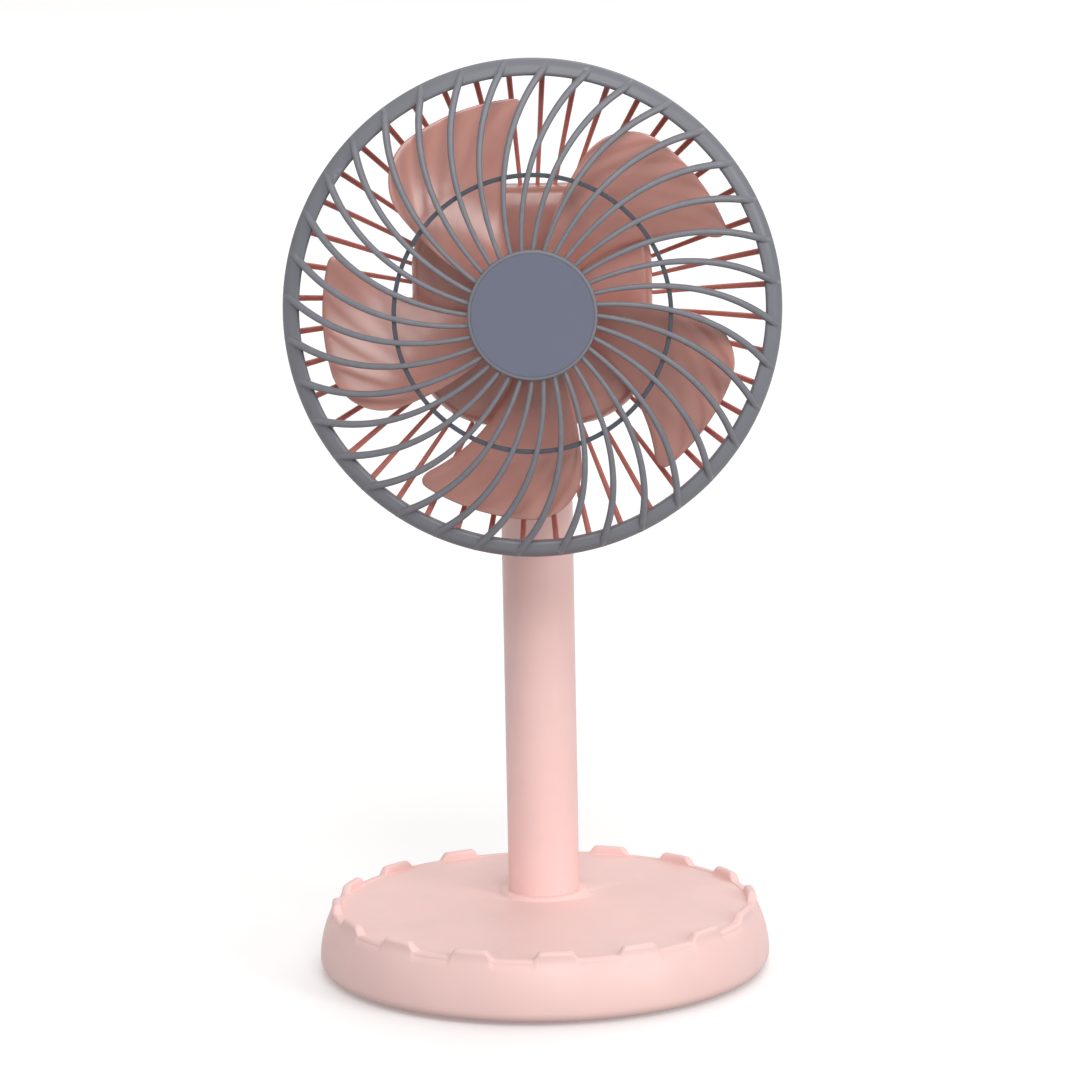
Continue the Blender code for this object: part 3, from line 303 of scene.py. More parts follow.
def peg(name, place, radius, low, high, matrix=IDENTITY, steps=32):
    """A plain round cutter or post along the matrix's Z, at an (x, y) place."""
    section = [(0, high), (radius, high), (radius, low), (0, low)]
    return disc(name, section, steps=steps, matrix=matrix @ Matrix.Translation((*place, 0)))


def prism(name, outline, low, high, matrix=IDENTITY):
    """An outline in X and Y, extruded between two heights."""
    count = len(outline)
    verts = [(x, y, low) for x, y in outline] + [(x, y, high) for x, y in outline]
    faces = [list(range(count)), list(range(count, 2 * count))]
    faces += [(k, (k + 1) % count, count + (k + 1) % count, count + k) for k in range(count)]
    return new_object(name, verts, faces, matrix)


def rounded_rectangle(half_x, half_y, corner, middle=(0, 0), segments=8):
    """Outline of a rectangle with round corners."""
    outline = []
    for quarter, (sign_x, sign_y) in enumerate(((1, 1), (-1, 1), (-1, -1), (1, -1))):
        for k in range(segments + 1):
            angle = math.pi / 2 * (quarter + k / segments)
            x = sign_x * (half_x - corner) + corner * math.cos(angle)
            y = sign_y * (half_y - corner) + corner * math.sin(angle)
            outline.append((middle[0] + x, middle[1] + y))
    return outline


def rods(name, paths, matrix=IDENTITY, sides=12, squareness=0.8):
    """Bent rods with rounded oblong sections. A path is a list of (point, half width, half depth)."""
    verts, faces = [], []
    ahead = Vector((0, 0, 1))
    for path in paths:
        places = [Vector(point) for point, _, _ in path]
        first = len(verts)
        for i, (_, width, depth) in enumerate(path):
            tangent = (places[min(i + 1, len(path) - 1)] - places[max(i - 1, 0)]).normalized()
            across = tangent.cross(ahead).normalized()
            up = across.cross(tangent)
            for k in range(sides):
                angle = 2 * math.pi * (k + 0.5) / sides
                c, s = math.cos(angle), math.sin(angle)
                offset_x = width * math.copysign(abs(c) ** squareness, c)
                offset_z = depth * math.copysign(abs(s) ** squareness, s)
                verts.append(places[i] + across * offset_x + up * offset_z)
        for i in range(len(path) - 1):
            low = first + i * sides
            for k in range(sides):
                after = (k + 1) % sides
                faces.append((low + k, low + after, low + sides + after, low + sides + k))
        last = first + (len(path) - 1) * sides
        faces.append(tuple(range(first, first + sides)))
        faces.append(tuple(range(last, last + sides)))
    return new_object(name, verts, faces, matrix)


def combined(target, tools, operation="DIFFERENCE"):
    """Cuts each tool from the target, joins it, or keeps what they share. The tools are used up."""
    for tool in tools:
        boolean = target.modifiers.new(tool.name, "BOOLEAN")
        boolean.solver = "MANIFOLD"
        boolean.operation = operation
        boolean.object = tool
        bpy.context.view_layer.update()
        graph = bpy.context.evaluated_depsgraph_get()
        mesh = bpy.data.meshes.new_from_object(target.evaluated_get(graph))
        target.modifiers.clear()
        target.data = mesh
        bpy.data.objects.remove(tool)


def soften(obj, width, segments=3, limit=40):
    """Rounds the sharp edges of a piece by a small bevel."""
    bevel = obj.modifiers.new("soft_edges", "BEVEL")
    bevel.width = width
    bevel.segments = segments
    bevel.limit_method = "ANGLE"
    bevel.angle_limit = math.radians(limit)


def finish_piece(obj, material, body, slot, *nodes, sharp=35):
    """Shades a new piece, gives it its material, parents it to its body, and hides the CAD nodes it
    stands in for.
    """
    obj.data.materials.clear()
    obj.data.materials.append(material)
    obj.data.shade_smooth()
    obj.data.set_sharp_from_angle(angle=math.radians(sharp))
    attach(obj, body)
    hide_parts(*nodes)


def ring_of(count, radius, first=0.0):
    """Evenly spaced places round the origin."""
    return [polar(radius, first + 2 * math.pi * i / count) for i in range(count)]


# Materials


class Nodes:
    """Builds one material's node tree."""

    def __init__(self, name):
        self.material = bpy.data.materials.new(name)
        self.material.use_nodes = True
        self.tree = self.material.node_tree
        self.shader = self.tree.nodes["Principled BSDF"]
        self.place = self.add("ShaderNodeTexCoord").outputs["Object"]

    def add(self, kind, **settings):
        node = self.tree.nodes.new(kind)
        for key, value in settings.items():
            setattr(node, key, value)
        return node

    def link(self, source, target):
        self.tree.links.new(source, target)

    def finished(self, colour, roughness, normal):
        """The material, with the three sockets that vary over its surface linked."""
        for name, source in (("Base Color", colour), ("Roughness", roughness), ("Normal", normal)):
            self.link(source, self.shader.inputs[name])
        return self.material

    def noise(self, scale, detail=3.0, roughness=0.55, stretch=None):
        node = self.add("ShaderNodeTexNoise")
        node.inputs["Scale"].default_value = scale
        node.inputs["Detail"].default_value = detail
        node.inputs["Roughness"].default_value = roughness
        place = self.place
        if stretch:
            mapping = self.add("ShaderNodeMapping")
            mapping.inputs["Scale"].default_value = stretch
            self.link(self.place, mapping.inputs["Vector"])
            place = mapping.outputs["Vector"]
        self.link(place, node.inputs["Vector"])
        return node.outputs["Fac"]

    def spread(self, source, low, high, from_low=0.35, from_high=0.65):
        node = self.add("ShaderNodeMapRange")
        self.link(source, node.inputs["Value"])
        node.inputs["From Min"].default_value = from_low
        node.inputs["From Max"].default_value = from_high
        node.inputs["To Min"].default_value = low
        node.inputs["To Max"].default_value = high
        return node.outputs["Result"]

    def mix(self, factor, first, second):
        """Mixes two colours, each a tuple or a socket."""
        node = self.add("ShaderNodeMix", data_type="RGBA")
        self.link(factor, node.inputs["Factor"])
        for value, socket in ((first, node.inputs[6]), (second, node.inputs[7])):
            if isinstance(value, tuple):
                socket.default_value = (*value, 1.0)
            else:
                self.link(value, socket)
        return node.outputs[2]

    def math(self, operation, first, second):
        node = self.add("ShaderNodeMath", operation=operation)
        for value, socket in zip((first, second), node.inputs):
            if isinstance(value, (int, float)):
                socket.default_value = value
            else:
                self.link(value, socket)
        return node.outputs["Value"]

    def bump(self, height, strength, distance, below=None):
        node = self.add("ShaderNodeBump")
        node.inputs["Strength"].default_value = strength
        node.inputs["Distance"].default_value = distance
        self.link(height, node.inputs["Height"])
        if below:
            self.link(below, node.inputs["Normal"])
        return node.outputs["Normal"]


def scaled(colour, factor):
    return tuple(min(1.0, value * factor) for value in colour)


def moulded_plastic(name, colour, roughness, grain=1400.0, wear=0.35, mottle=0.035, coat=0.0):
    """Injection-moulded plastic: faint mottling and flow lines, fine texture, polished worn edges."""
    nodes = Nodes(name)
    mottling = nodes.spread(nodes.noise(26.0, 4.0), 0.0, 1.0)
    base = nodes.mix(mottling, scaled(colour, 1 - mottle), scaled(colour, 1 + mottle))
    flow = nodes.spread(nodes.noise(60.0, 2.0, stretch=(1.0, 1.0, 0.12)), 0.0, 0.5)
    warm = tuple(value * tint for value, tint in zip(colour, (1.02, 0.985, 0.98)))
    base = nodes.mix(flow, base, warm)
    edges = nodes.spread(nodes.add("ShaderNodeNewGeometry").outputs["Pointiness"], 0.0, 1.0, 0.53, 0.62)
    scuffs = nodes.spread(nodes.noise(320.0, 5.0), 0.0, 1.0, 0.42, 0.68)
    worn = nodes.math("MULTIPLY", nodes.math("MULTIPLY", edges, scuffs), wear)
    pale = tuple(value + (1 - value) * 0.35 for value in colour)
    blotches = nodes.spread(nodes.noise(48.0, 3.0), roughness - 0.045, roughness + 0.05)
    polished = nodes.math("MULTIPLY", worn, -0.18)
    broad = nodes.bump(nodes.noise(110.0, 2.0), 0.25, 0.00006)
    fine = nodes.bump(nodes.noise(grain, 3.0, 0.6), 0.6, 0.00003, broad)
    nodes.shader.inputs["IOR"].default_value = 1.48
    nodes.shader.inputs["Coat Weight"].default_value = coat
    nodes.shader.inputs["Coat Roughness"].default_value = 0.2
    return nodes.finished(nodes.mix(worn, base, pale), nodes.math("ADD", blotches, polished), fine)


def metal(name, colour, roughness, stretch=(1.0, 1.0, 14.0), grain=500.0, stain=0.12):
    """Bare or plated metal: drawing marks along one axis, faint stains and brighter edges."""
    nodes = Nodes(name)
    stains = nodes.spread(nodes.noise(180.0, 4.0), 0.0, 1.0)
    base = nodes.mix(stains, scaled(colour, 1 - stain), scaled(colour, 1 + 0.4 * stain))
    edges = nodes.spread(nodes.add("ShaderNodeNewGeometry").outputs["Pointiness"], 0.0, 0.6, 0.52, 0.62)
    marks = nodes.noise(grain, 4.0, stretch=stretch)
    gloss = nodes.spread(marks, roughness - 0.08, roughness + 0.12)
    nodes.shader.inputs["Metallic"].default_value = 1.0
    bright = scaled(colour, 1.25)
    return nodes.finished(nodes.mix(edges, base, bright), gloss, nodes.bump(marks, 0.4, 0.00002))


def wound_copper(name, colour):
    """Enamelled wire wound in close turns."""
    nodes = Nodes(name)
    turns = nodes.add("ShaderNodeTexWave", wave_type="BANDS", bands_direction="Y")
    turns.inputs["Scale"].default_value = 900.0
    turns.inputs["Distortion"].default_value = 1.5
    nodes.link(nodes.place, turns.inputs["Vector"])
    shade = turns.outputs["Fac"]
    wire = nodes.mix(shade, scaled(colour, 0.35), scaled(colour, 1.1))
    gloss = nodes.spread(nodes.noise(300.0), 0.22, 0.38)
    nodes.shader.inputs["Metallic"].default_value = 1.0
    return nodes.finished(wire, gloss, nodes.bump(shade, 0.8, 0.0001))


def soft_rubber(name, colour):
    """Matt rubber with a fine bloom and dust on its edges."""
    nodes = Nodes(name)
    dust = nodes.spread(nodes.noise(420.0, 5.0), 0.0, 0.35, 0.45, 0.75)
    surface = nodes.mix(dust, colour, (0.16, 0.15, 0.145))
    gloss = nodes.spread(nodes.noise(90.0), 0.72, 0.92)
    return nodes.finished(surface, gloss, nodes.bump(nodes.noise(1900.0, 3.0), 0.7, 0.00008))


def circuit_board(name, colour):
    """Green solder mask over faint copper tracks, with a woven glass core."""
    nodes = Nodes(name)
    cells = nodes.add("ShaderNodeTexBrick")
    cells.inputs["Scale"].default_value = 130.0
    cells.inputs["Mortar Size"].default_value = 0.012
    cells.inputs["Color1"].default_value = (*colour, 1)
    cells.inputs["Color2"].default_value = (*scaled(colour, 1.25), 1)
    cells.inputs["Mortar"].default_value = (*scaled(colour, 2.1), 1)
    nodes.link(nodes.place, cells.inputs["Vector"])
    patches = nodes.spread(nodes.noise(70.0, 3.0), 0.0, 1.0, 0.48, 0.52)
    surface = nodes.mix(patches, colour, cells.outputs["Color"])
    gloss = nodes.spread(nodes.noise(300.0), 0.25, 0.45)
    return nodes.finished(surface, gloss, nodes.bump(cells.outputs["Fac"], 0.5, 0.00003))


def ferrite(name, colour):
    """Sintered ferrite: grey-black, matt, with fine pores."""
    nodes = Nodes(name)
    pores = nodes.add("ShaderNodeTexVoronoi")
    pores.inputs["Scale"].default_value = 1300.0
    nodes.link(nodes.place, pores.inputs["Vector"])
    speckle = nodes.spread(pores.outputs["Distance"], 0.0, 1.0, 0.1, 0.7)
    surface = nodes.mix(speckle, scaled(colour, 0.5), scaled(colour, 1.4))
    gloss = nodes.spread(nodes.noise(200.0), 0.55, 0.75)
    return nodes.finished(surface, gloss, nodes.bump(pores.outputs["Distance"], 0.5, 0.00005))


PINK = moulded_plastic("pink_plastic", srgb(243, 206, 201), 0.44)
ROSE = moulded_plastic("rose_plastic", srgb(203, 144, 132), 0.33, mottle=0.05, coat=0.8)
# Painted shade: a deeper, redder copy of the rose plastic for the thin rear spokes, standing in for the
# shade they sit in
SHADED_ROSE_SPOKES = moulded_plastic("rose_spokes_painted_shade", srgb(212, 124, 110), 0.40, mottle=0.06)
GREY = moulded_plastic("grey_plastic", srgb(122, 123, 131), 0.40, wear=0.5, mottle=0.05)
# Painted shade: a darker copy of the grey plastic for the brace ring, standing in for the shade behind
# the ribs
SHADED_GREY = moulded_plastic("grey_plastic_painted_shade", srgb(74, 78, 88), 0.45, wear=0.3)
SLATE = moulded_plastic("slate_badge", srgb(109, 114, 133), 0.55, grain=2200.0, mottle=0.02, wear=0.0)
WHITE = moulded_plastic("white_nylon", srgb(231, 229, 225), 0.48)
BLACK = moulded_plastic("black_plastic", srgb(42, 42, 44), 0.46, mottle=0.12)
WRAP = moulded_plastic("cell_wrap", srgb(62, 112, 170), 0.30, mottle=0.06, coat=0.4)
RUBBER = soft_rubber("rubber", (0.045, 0.045, 0.047))
STEEL = metal("steel", (0.62, 0.62, 0.62), 0.30)
BRONZE = metal("bronze", (0.62, 0.42, 0.22), 0.38, grain=900.0, stretch=(1, 1, 1))
COPPER = wound_copper("copper", (0.78, 0.38, 0.20))
BOARD = circuit_board("circuit_board", (0.03, 0.20, 0.09))
MAGNET = ferrite("magnet", (0.10, 0.10, 0.11))


# Stand


def base_wall_radius(z):
    """Outer radius of the base's bulging wall at a height."""
    rise = min(1.0, max(0.0, (z - BASE_WIDEST_Z) / (BASE_TOP_Z - BASE_WIDEST_Z)))
    return BASE_TOP_R + (BASE_R - BASE_TOP_R) * (1 - rise**2)


def merlon_columns():
    """(angle, height) round the rim: height is 0 in a gap, 1 on a merlon, and ramps between them."""
    pitch = 2 * math.pi / MERLON_COUNT
    half = MERLON_SHARE * pitch / 2
    ramp = math.radians(1.2)
    rise = []
    for k in range(9):
        t = k / 8
        rise.append((-half - ramp + 2 * ramp * t, t * t * (3 - 2 * t)))
    flat = [(-half + ramp + 2 * (half - ramp) * k / 7, 1.0) for k in range(1, 7)]
    fall = [(-turn, height) for turn, height in reversed(rise)]
    gap = pitch - 2 * (half + ramp)
    sill = [(half + ramp + gap * k / 9, 0.0) for k in range(1, 9)]
    columns = []
    for i in range(MERLON_COUNT):
        middle = MERLON_TURN - math.pi / 2 + pitch * i
        columns += [(middle + turn, height) for turn, height in rise + flat + fall + sill]
    return columns


def base_section(merlon):
    """The shell's section where its rim is a merlon (1), a gap (0) or between them."""
    top = BASE_TOP_Z + MERLON_SILL + (MERLON_HEIGHT - MERLON_SILL) * merlon
    inside = BASE_TOP_R - MERLON_DEPTH
    tall = top - BASE_TOP_Z
    round_in = min(0.0013, 0.6 * tall)
    points = [(0.0, BASE_TOP_Z)]
    points += [(inside * share, BASE_TOP_Z) for share in (0.3, 0.6, 0.85, 0.97)]
    points.append((inside - 0.0004, BASE_TOP_Z))
    points.append((inside, BASE_TOP_Z + 0.12 * tall))
    for k in range(6):
        angle = math.pi / 2 * k / 5
        radius = inside + round_in * (1 - math.cos(angle))
        points.append((radius, top - round_in * (1 - math.sin(angle))))
    round_out = 0.0017
    for k in range(8):
        angle = math.pi / 2 * k / 7
        radius = BASE_TOP_R - round_out * (1 - math.sin(angle))
        points.append((radius, top - round_out * (1 - math.cos(angle))))
    start = top - round_out
    for k in range(1, 15):
        z = start + (BASE_WIDEST_Z - start) * k / 14
        points.append((base_wall_radius(z), z))
    drop = BASE_WIDEST_Z - BASE_EDGE_Z
    for k in range(1, 8):
        angle = math.radians(78) * k / 7
        points.append((BASE_R - drop * (1 - math.cos(angle)), BASE_WIDEST_Z - drop * math.sin(angle)))
    points += [(BASE_R - 0.85 * drop, BASE_EDGE_Z), (BASE_LIP_R, BASE_EDGE_Z)]
    points += [(BASE_LIP_R, BASE_WIDEST_Z), (BASE_R - BASE_WALL, 1.6 * BASE_WIDEST_Z)]
    plate = (BASE_TOP_R - BASE_WALL, 0.4 * BASE_R, 0)
    return points + [(radius, PLATE_UNDERSIDE) for radius in plate]


def castellated_disc():
    """The base's shell before its collar and holes, with one column of points for each rim place."""
    columns = []
    sections = [(angle, base_section(height)) for angle, height in merlon_columns()]
    count = len(sections[0][1])
    verts = [(0, 0, BASE_TOP_Z), (0, 0, PLATE_UNDERSIDE)]
    for angle, section in sections:
        columns.append(len(verts))
        verts += [polar(radius, angle, z) for radius, z in section[1:-1]]
    faces = []
    for here, after in zip(columns, columns[1:] + columns[:1]):
        faces.append((0, here, after))
        faces += [(here + k, here + k + 1, after + k + 1, after + k) for k in range(count - 3)]
        faces.append((here + count - 3, 1, after + count - 3))
    return new_object("base_shell_fine", verts, faces)


def make_base():
    """The pink shell of the base, with the collar round the pole's foot."""
    shell = castellated_disc()
    top = BASE_TOP_Z + COLLAR_HEIGHT
    collar = rounded(
        [
            (0, top),
            (COLLAR_R - 0.0013, top, 0.0012),
            (COLLAR_R - 0.0002, BASE_TOP_Z + 0.0002, 0.0006),
            (COLLAR_R + 0.0007, BASE_TOP_Z - 0.0003),
            (ANCHOR_R, PLATE_UNDERSIDE + 0.0006),
            (ANCHOR_R, ANCHOR_TOP),
            (0, ANCHOR_TOP),
        ]
    )
    joined = [disc("pole_boss", collar, matrix=AT_POLE, steps=96)]
    posts = ring_of(4, POST_CIRCLE_R, math.radians(45))
    post_top = BASE_TOP_Z - 0.001
    joined += [peg(f"post_{i}", at, POST_R, INNER_FLOOR_Z, post_top) for i, at in enumerate(posts)]
    combined(shell, joined, "UNION")
    button_at = Matrix.Translation((BUTTON_X, BASE_BACK_Y, BUTTON_Z)) @ TO_BACK
    snug = POLE_R + SNUG
    holes = [disc("pole_hole", [(0, 0.06), (snug, 0.06), (snug, 0), (0, 0)], matrix=AT_POLE)]
    holes.append(peg("button_hole", (0, 0), BUTTON_R + GAP, -0.01, 0.01, button_at, steps=48))
    low, high = SOCKET_Z
    slot = rounded_rectangle(SOCKET_HALF, (high - low) / 2, SOCKET_CORNER)
    socket_at = Matrix.Translation((SOCKET_X, BASE_BACK_Y, (low + high) / 2)) @ TO_BACK
    holes.append(prism("socket_slot", slot, -0.01, 0.01, socket_at))
    combined(shell, holes)
    finish_piece(shell, PINK, "base", "pink_plastic", "base_shell")
    make_underside()


def groove(radius, low, inner=0.0003):
    """The points of a shallow groove in a section, from a radius inwards."""
    points = ((0, 0, 0.0003), (0.0004, 0.0005, inner), (0.0012, 0.0005, inner), (0.0016, 0, 0.0003))
    return [(radius - into, low + up, corner) for into, up, corner in points]


def make_underside():
    """The grooved cover under the base, its feet and its screws."""
    flat = [
        (0, COVER_HIGH),
        (BASE_LIP_R - GAP, COVER_HIGH),
        (BASE_LIP_R - GAP, COVER_LOW, 0.0005),
        *groove(BASE_LIP_R - 0.003, COVER_LOW),
        *groove(0.030, COVER_LOW),
        (0, COVER_LOW),
    ]
    cover = disc("base_cover_fine", rounded(flat), steps=160)
    posts = ring_of(4, POST_CIRCLE_R, math.radians(45))
    combined(cover, [peg(f"cover_hole_{i}", at, SCREW_HOLE_R, 0, 0.01) for i, at in enumerate(posts)])
    finish_piece(cover, PINK, "base", "pink_plastic", "base_cover")
    foot = rounded(
        [
            (0, FOOT_HEIGHT),
            (FOOT_R, FOOT_HEIGHT, 0.0002),
            (FOOT_R, 0, 0.0006),
            *groove(FOOT_R - 0.0014, 0, 0.0002),
            (0, 0),
        ]
    )
    for number, (x, y) in enumerate(ring_of(4, FOOT_CIRCLE_R), 1):
        place = Matrix.Translation((x, y, 0))
        piece = disc(f"rubber_foot_{number}_fine", foot, steps=64, matrix=place)
        finish_piece(piece, RUBBER, "base", "rubber", f"rubber_foot_{number}")
    fine_screws("base_screw", posts, COVER_LOW - GAP, "base", length=0.011, head=0.0013)


def fine_screws(name, places, low, body, matrix=IDENTITY, **sizes):
    """Screws at (x, y) places in the matrix's axes, with their heads hanging below a height."""
    for number, (x, y) in enumerate(places, 1):
        turned = matrix @ Matrix.Translation((x, y, low)) @ TURNED_OVER
        fine_screw(f"{name}_{number}", turned, body, **sizes)


def fine_screw(node, matrix, body, head_r=0.0026, head=0.0018, shank_r=0.0013, length=0.008):
    """A pan-head screw with a cross recess. Its head sits on the matrix's origin and faces its +Z."""
    section = rounded(
        [
            (0, head),
            (0.45 * head_r, 0.97 * head, 0.0004),
            (0.85 * head_r, 0.74 * head, 0.0004),
            (head_r, 0.42 * head, 0.0003),
            (head_r, 0, 0.0002),
            (shank_r, 0),
            (shank_r, -length),
            (0, -length - shank_r),
        ]
    )
    piece = disc(f"{node}_fine", section, steps=40, matrix=matrix)
    arm, width = 0.55 * head_r, 0.17 * head_r
    depth = head - 0.0010 if head > 0.0015 else 0.3 * head
    cross = [(arm, width), (width, width), (width, arm), (-width, arm), (-width, width), (-arm, width)]
    cross += [(-x, -y) for x, y in cross]
    combined(piece, [prism("recess", cross, depth, 0.01, matrix)])
    finish_piece(piece, STEEL, body, "steel", node)


def make_button():
    """The speed button in the back of the base, with a dished face."""
    low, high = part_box("speed_button")
    deep = high.y - low.y
    flange = BUTTON_STEM - deep
    section = rounded(
        [
            (0, -0.0003),
            (0.5 * BUTTON_R, -0.0002),
            (0.8 * BUTTON_R, 0, 0.0003),
            (BUTTON_R, 0, 0.0006),
            (BUTTON_R, flange),
            (BUTTON_FLANGE_R, flange, 0.0002),
            (BUTTON_FLANGE_R, flange - BUTTON_FLANGE, 0.0002),
            (0.002, flange - BUTTON_FLANGE),
            (0.002, -deep),
            (0, -deep),
        ]
    )
    place = Matrix.Translation((BUTTON_X, high.y, BUTTON_Z)) @ TO_BACK
    piece = disc("speed_button_fine", section, steps=64, matrix=place)
    finish_piece(piece, GREY, "button", "grey_plastic", "speed_button")


def make_pole():
    """The hollow pole."""
    inner = POLE_R - POLE_WALL
    section = [
        (POLE_R, POLE_HIGH, 0.0005),
        *((POLE_R, share * POLE_HIGH) for share in (0.75, 0.5, 0.25)),
        (POLE_R, POLE_LOW, 0.0004),
        (inner, POLE_LOW, 0.0003),
        (inner, POLE_HIGH, 0.0003),
    ]
    pole = revolve("pole_fine", rounded(section), steps=128, matrix=AT_POLE)
    finish_piece(pole, PINK, "base", "pink_plastic", "pole")


def make_yoke():
    """The fork on top of the pole: a collar and two ears that stay within the pole's round."""
    low = POLE_HIGH + GAP
    ears_top = HINGE_Z + EAR_R
    stem_r = POLE_R - POLE_WALL - GAP
    body = rounded(
        [
            (0, ears_top + 0.001),
            (POLE_R, ears_top + 0.001),
            (POLE_R, low, 0.0005),
            (stem_r, low),
            (stem_r, POLE_HIGH - YOKE_PLUG, 0.0008),
            (0, POLE_HIGH - YOKE_PLUG),
        ]
    )
    yoke = disc("neck_yoke_fine", body, steps=128, matrix=AT_POLE)
    angles = [math.pi * k / 40 for k in range(41)]
    side = [(EAR_R * math.cos(angle), HINGE_Z + EAR_R * math.sin(angle)) for angle in angles]
    shoulder = HINGE_Z - EAR_R
    below = [(EAR_R, shoulder + 0.002), (EAR_R + 0.0006, shoulder), (0.031, shoulder), (0.031, 0.2)]
    side += [(-x, z) for x, z in below] + below[::-1]
    across = AT_POLE @ Matrix(((0, 0, 1, 0), (1, 0, 0, 0), (0, 1, 0, 0), (0, 0, 0, 1)))
    combined(yoke, [prism("ear_profile", side, -0.03, 0.03, across)], "INTERSECT")
    slot_half = TONGUE_HALF + WASHER_THICKNESS + 2 * RUN
    slot_low = HINGE_Z - EAR_R + 0.0006
    slot = rounded_rectangle(slot_half, 0.02, 0.0016, (0, slot_low + 0.02))
    front_back = AT_POLE @ TO_FRONT
    tools = [prism("tongue_slot", slot, -0.03, 0.03, front_back)]
    for side_x, name in ((-1, "left_flat"), (1, "right_flat")):
        middle = side_x * (EAR_OUTER_X + 0.01)
        flat = rounded_rectangle(0.01, 0.02, 0.0004, (middle, HINGE_Z - CAP_R - GAP + 0.02))
        tools.append(prism(name, flat, -0.03, 0.03, front_back))
    tools.append(peg("ear_bore", (0, 0), HINGE_BOLT_R + RUN, -0.03, 0.03, HINGE))
    tools.append(peg("wire_hole", (0, 0), WIRE_HOLE_R, 0, 0.5, AT_POLE))
    combined(yoke, tools)
    soften(yoke, 0.0004)
    finish_piece(yoke, PINK, "base", "pink_plastic", "neck_yoke")


def make_hinge_caps():
    """The two caps over the ends of the hinge bolt."""
    reach = EAR_OUTER_X + GAP
    outer = reach + CAP_HEIGHT
    section = rounded(
        [
            (0, outer - 0.0002),
            (0.72 * CAP_R, outer, 0.0012),
            (CAP_R, outer - 0.0010, 0.0010),
            (CAP_R, reach, 0.0002),
            (CAP_R - 0.0016, reach, 0.0002),
            (CAP_R - 0.0016, outer - 0.0011, 0.0002),
            (0, outer - 0.0011),
        ]
    )
    for side, name in ((1, "right"), (-1, "left")):
        facing = HINGE if side > 0 else HINGE @ TURNED_OVER
        cap = disc(f"hinge_cap_{name}_fine", section, steps=72, matrix=facing)
        finish_piece(cap, PINK, "base", "pink_plastic", f"hinge_cap_{name}")


# Cage


def rib_forward(radius):
    """How far forward the middle of a rib is, over the dome."""
    share = (radius - MEDALLION_R) / (RIM_R - MEDALLION_R)
    return RIM_DEPTH - 0.0032 + DOME_HEIGHT * (1 - max(0.0, share) ** 2.2)


def rib_path(turn, points=44):
    """A front rib: it swirls clockwise and falls back over the dome from the medallion to the rim."""
    path = []
    inner, outer = MEDALLION_R - 0.0009, RIM_R - 0.0012
    for i in range(points):
        share = i / (points - 1)
        radius = inner + (outer - inner) * share
        angle = turn - RIB_SWIRL * (0.8 * share + 0.2 * share**3)
        thick = RIB_THIN + (RIB_THICK - RIB_THIN) * share
        ending = max(0.0, (share - 0.93) / 0.07)
        depth = 1.15 * thick * (1 - 0.35 * ending**2)
        sunk = rib_forward(radius) - RIB_SINK * ending**2
        path.append((polar(radius, angle, sunk), thick, depth))
    return path


def make_front_grille():
    """The rim, the ribs, the plate round the badge, and the brace ring behind the ribs."""
    band = RIM_R - RIM_BAND
    rim = rounded(
        [
            (band, RIM_DEPTH - 0.0006, 0.0005),
            (band + 0.0010, RIM_DEPTH, 0.0005),
            (band + 0.0044, RIM_DEPTH - 0.0010, 0.0018),
            (RIM_R, RIM_DEPTH - 0.0036, 0.0012),
            (RIM_R, GAP / 2, 0.0004),
            (RIM_R - 0.0022, GAP / 2, 0.0003),
            (RIM_R - 0.0024, RIM_DEPTH - 0.0062, 0.0008),
            (band + 0.0026, RIM_DEPTH - 0.0044, 0.0012),
            (band + 0.0024, GAP / 2, 0.0003),
            (band + 0.0006, GAP / 2, 0.0003),
        ]
    )
    grille = revolve("front_grille_fine", rim, steps=288)
    ribs = [rib_path(RIB_TURN + 2 * math.pi * i / RIB_COUNT) for i in range(RIB_COUNT)]
    front = medallion_front()
    medallion = rounded(
        [
            (0, front - BADGE_THICKNESS - GAP),
            (MEDALLION_R - MEDALLION_LIP, front - BADGE_THICKNESS - GAP),
            (MEDALLION_R - MEDALLION_LIP, front, 0.0002),
            (MEDALLION_R, front - 0.0001, 0.0006),
            (MEDALLION_R, front - 0.0043, 0.0008),
            (0, front - 0.0043),
        ]
    )
    ring_forward = rib_forward(RING_R) - 0.0011
    corners = [(1, 1), (1, -1), (-1, -1), (-1, 1)]
    square = [
        (RING_R + x * RING_THICKNESS, ring_forward + y * RING_THICKNESS, 0.0003) for x, y in corners
    ]
    combined(grille, [disc("medallion_plate", medallion, steps=160), rods("front_ribs", ribs)], "UNION")
    grille.data.transform(HEAD)
    finish_piece(grille, GREY, "head", "grey_plastic", "front_grille", sharp=42)
    ring = revolve("brace_ring", rounded(square), steps=240, matrix=HEAD)
    # The brace ring takes the grey plastic's darker copy, painted shade for its place behind the ribs
    finish_piece(ring, SHADED_GREY, "head", "grey_plastic", "front_grille")


def medallion_front():
    """Forward face of the lip round the badge."""
    return rib_forward(MEDALLION_R) + 0.0022


def make_badge():
    """The plain disc in the middle of the guard."""
    front = medallion_front() - 0.0001
    radius = MEDALLION_R - MEDALLION_LIP - SNUG
    face = rounded(
        [
            *((share * radius, front) for share in (0, 0.25, 0.5, 0.7, 0.85, 0.95)),
            (radius, front, 0.0002),
            (radius, front - BADGE_THICKNESS + GAP),
            (0, front - BADGE_THICKNESS + GAP),
        ]
    )
    badge = disc("grille_badge_fine", face, steps=160, matrix=HEAD)
    finish_piece(badge, SLATE, "head", "slate_badge", "grille_badge")


def squircle_radius(angle, half=HOUSING_HALF, corner=HOUSING_CORNER):
    """Distance from the middle of a rounded square to its edge, in a direction."""
    fold = abs((angle + math.pi / 4) % (math.pi / 2) - math.pi / 4)
    straight = half - corner
    if half * math.tan(fold) <= straight:
        return half / math.cos(fold)
    along = straight * (math.cos(fold) + math.sin(fold))
    return along + math.sqrt(along**2 - 2 * straight**2 + corner**2)


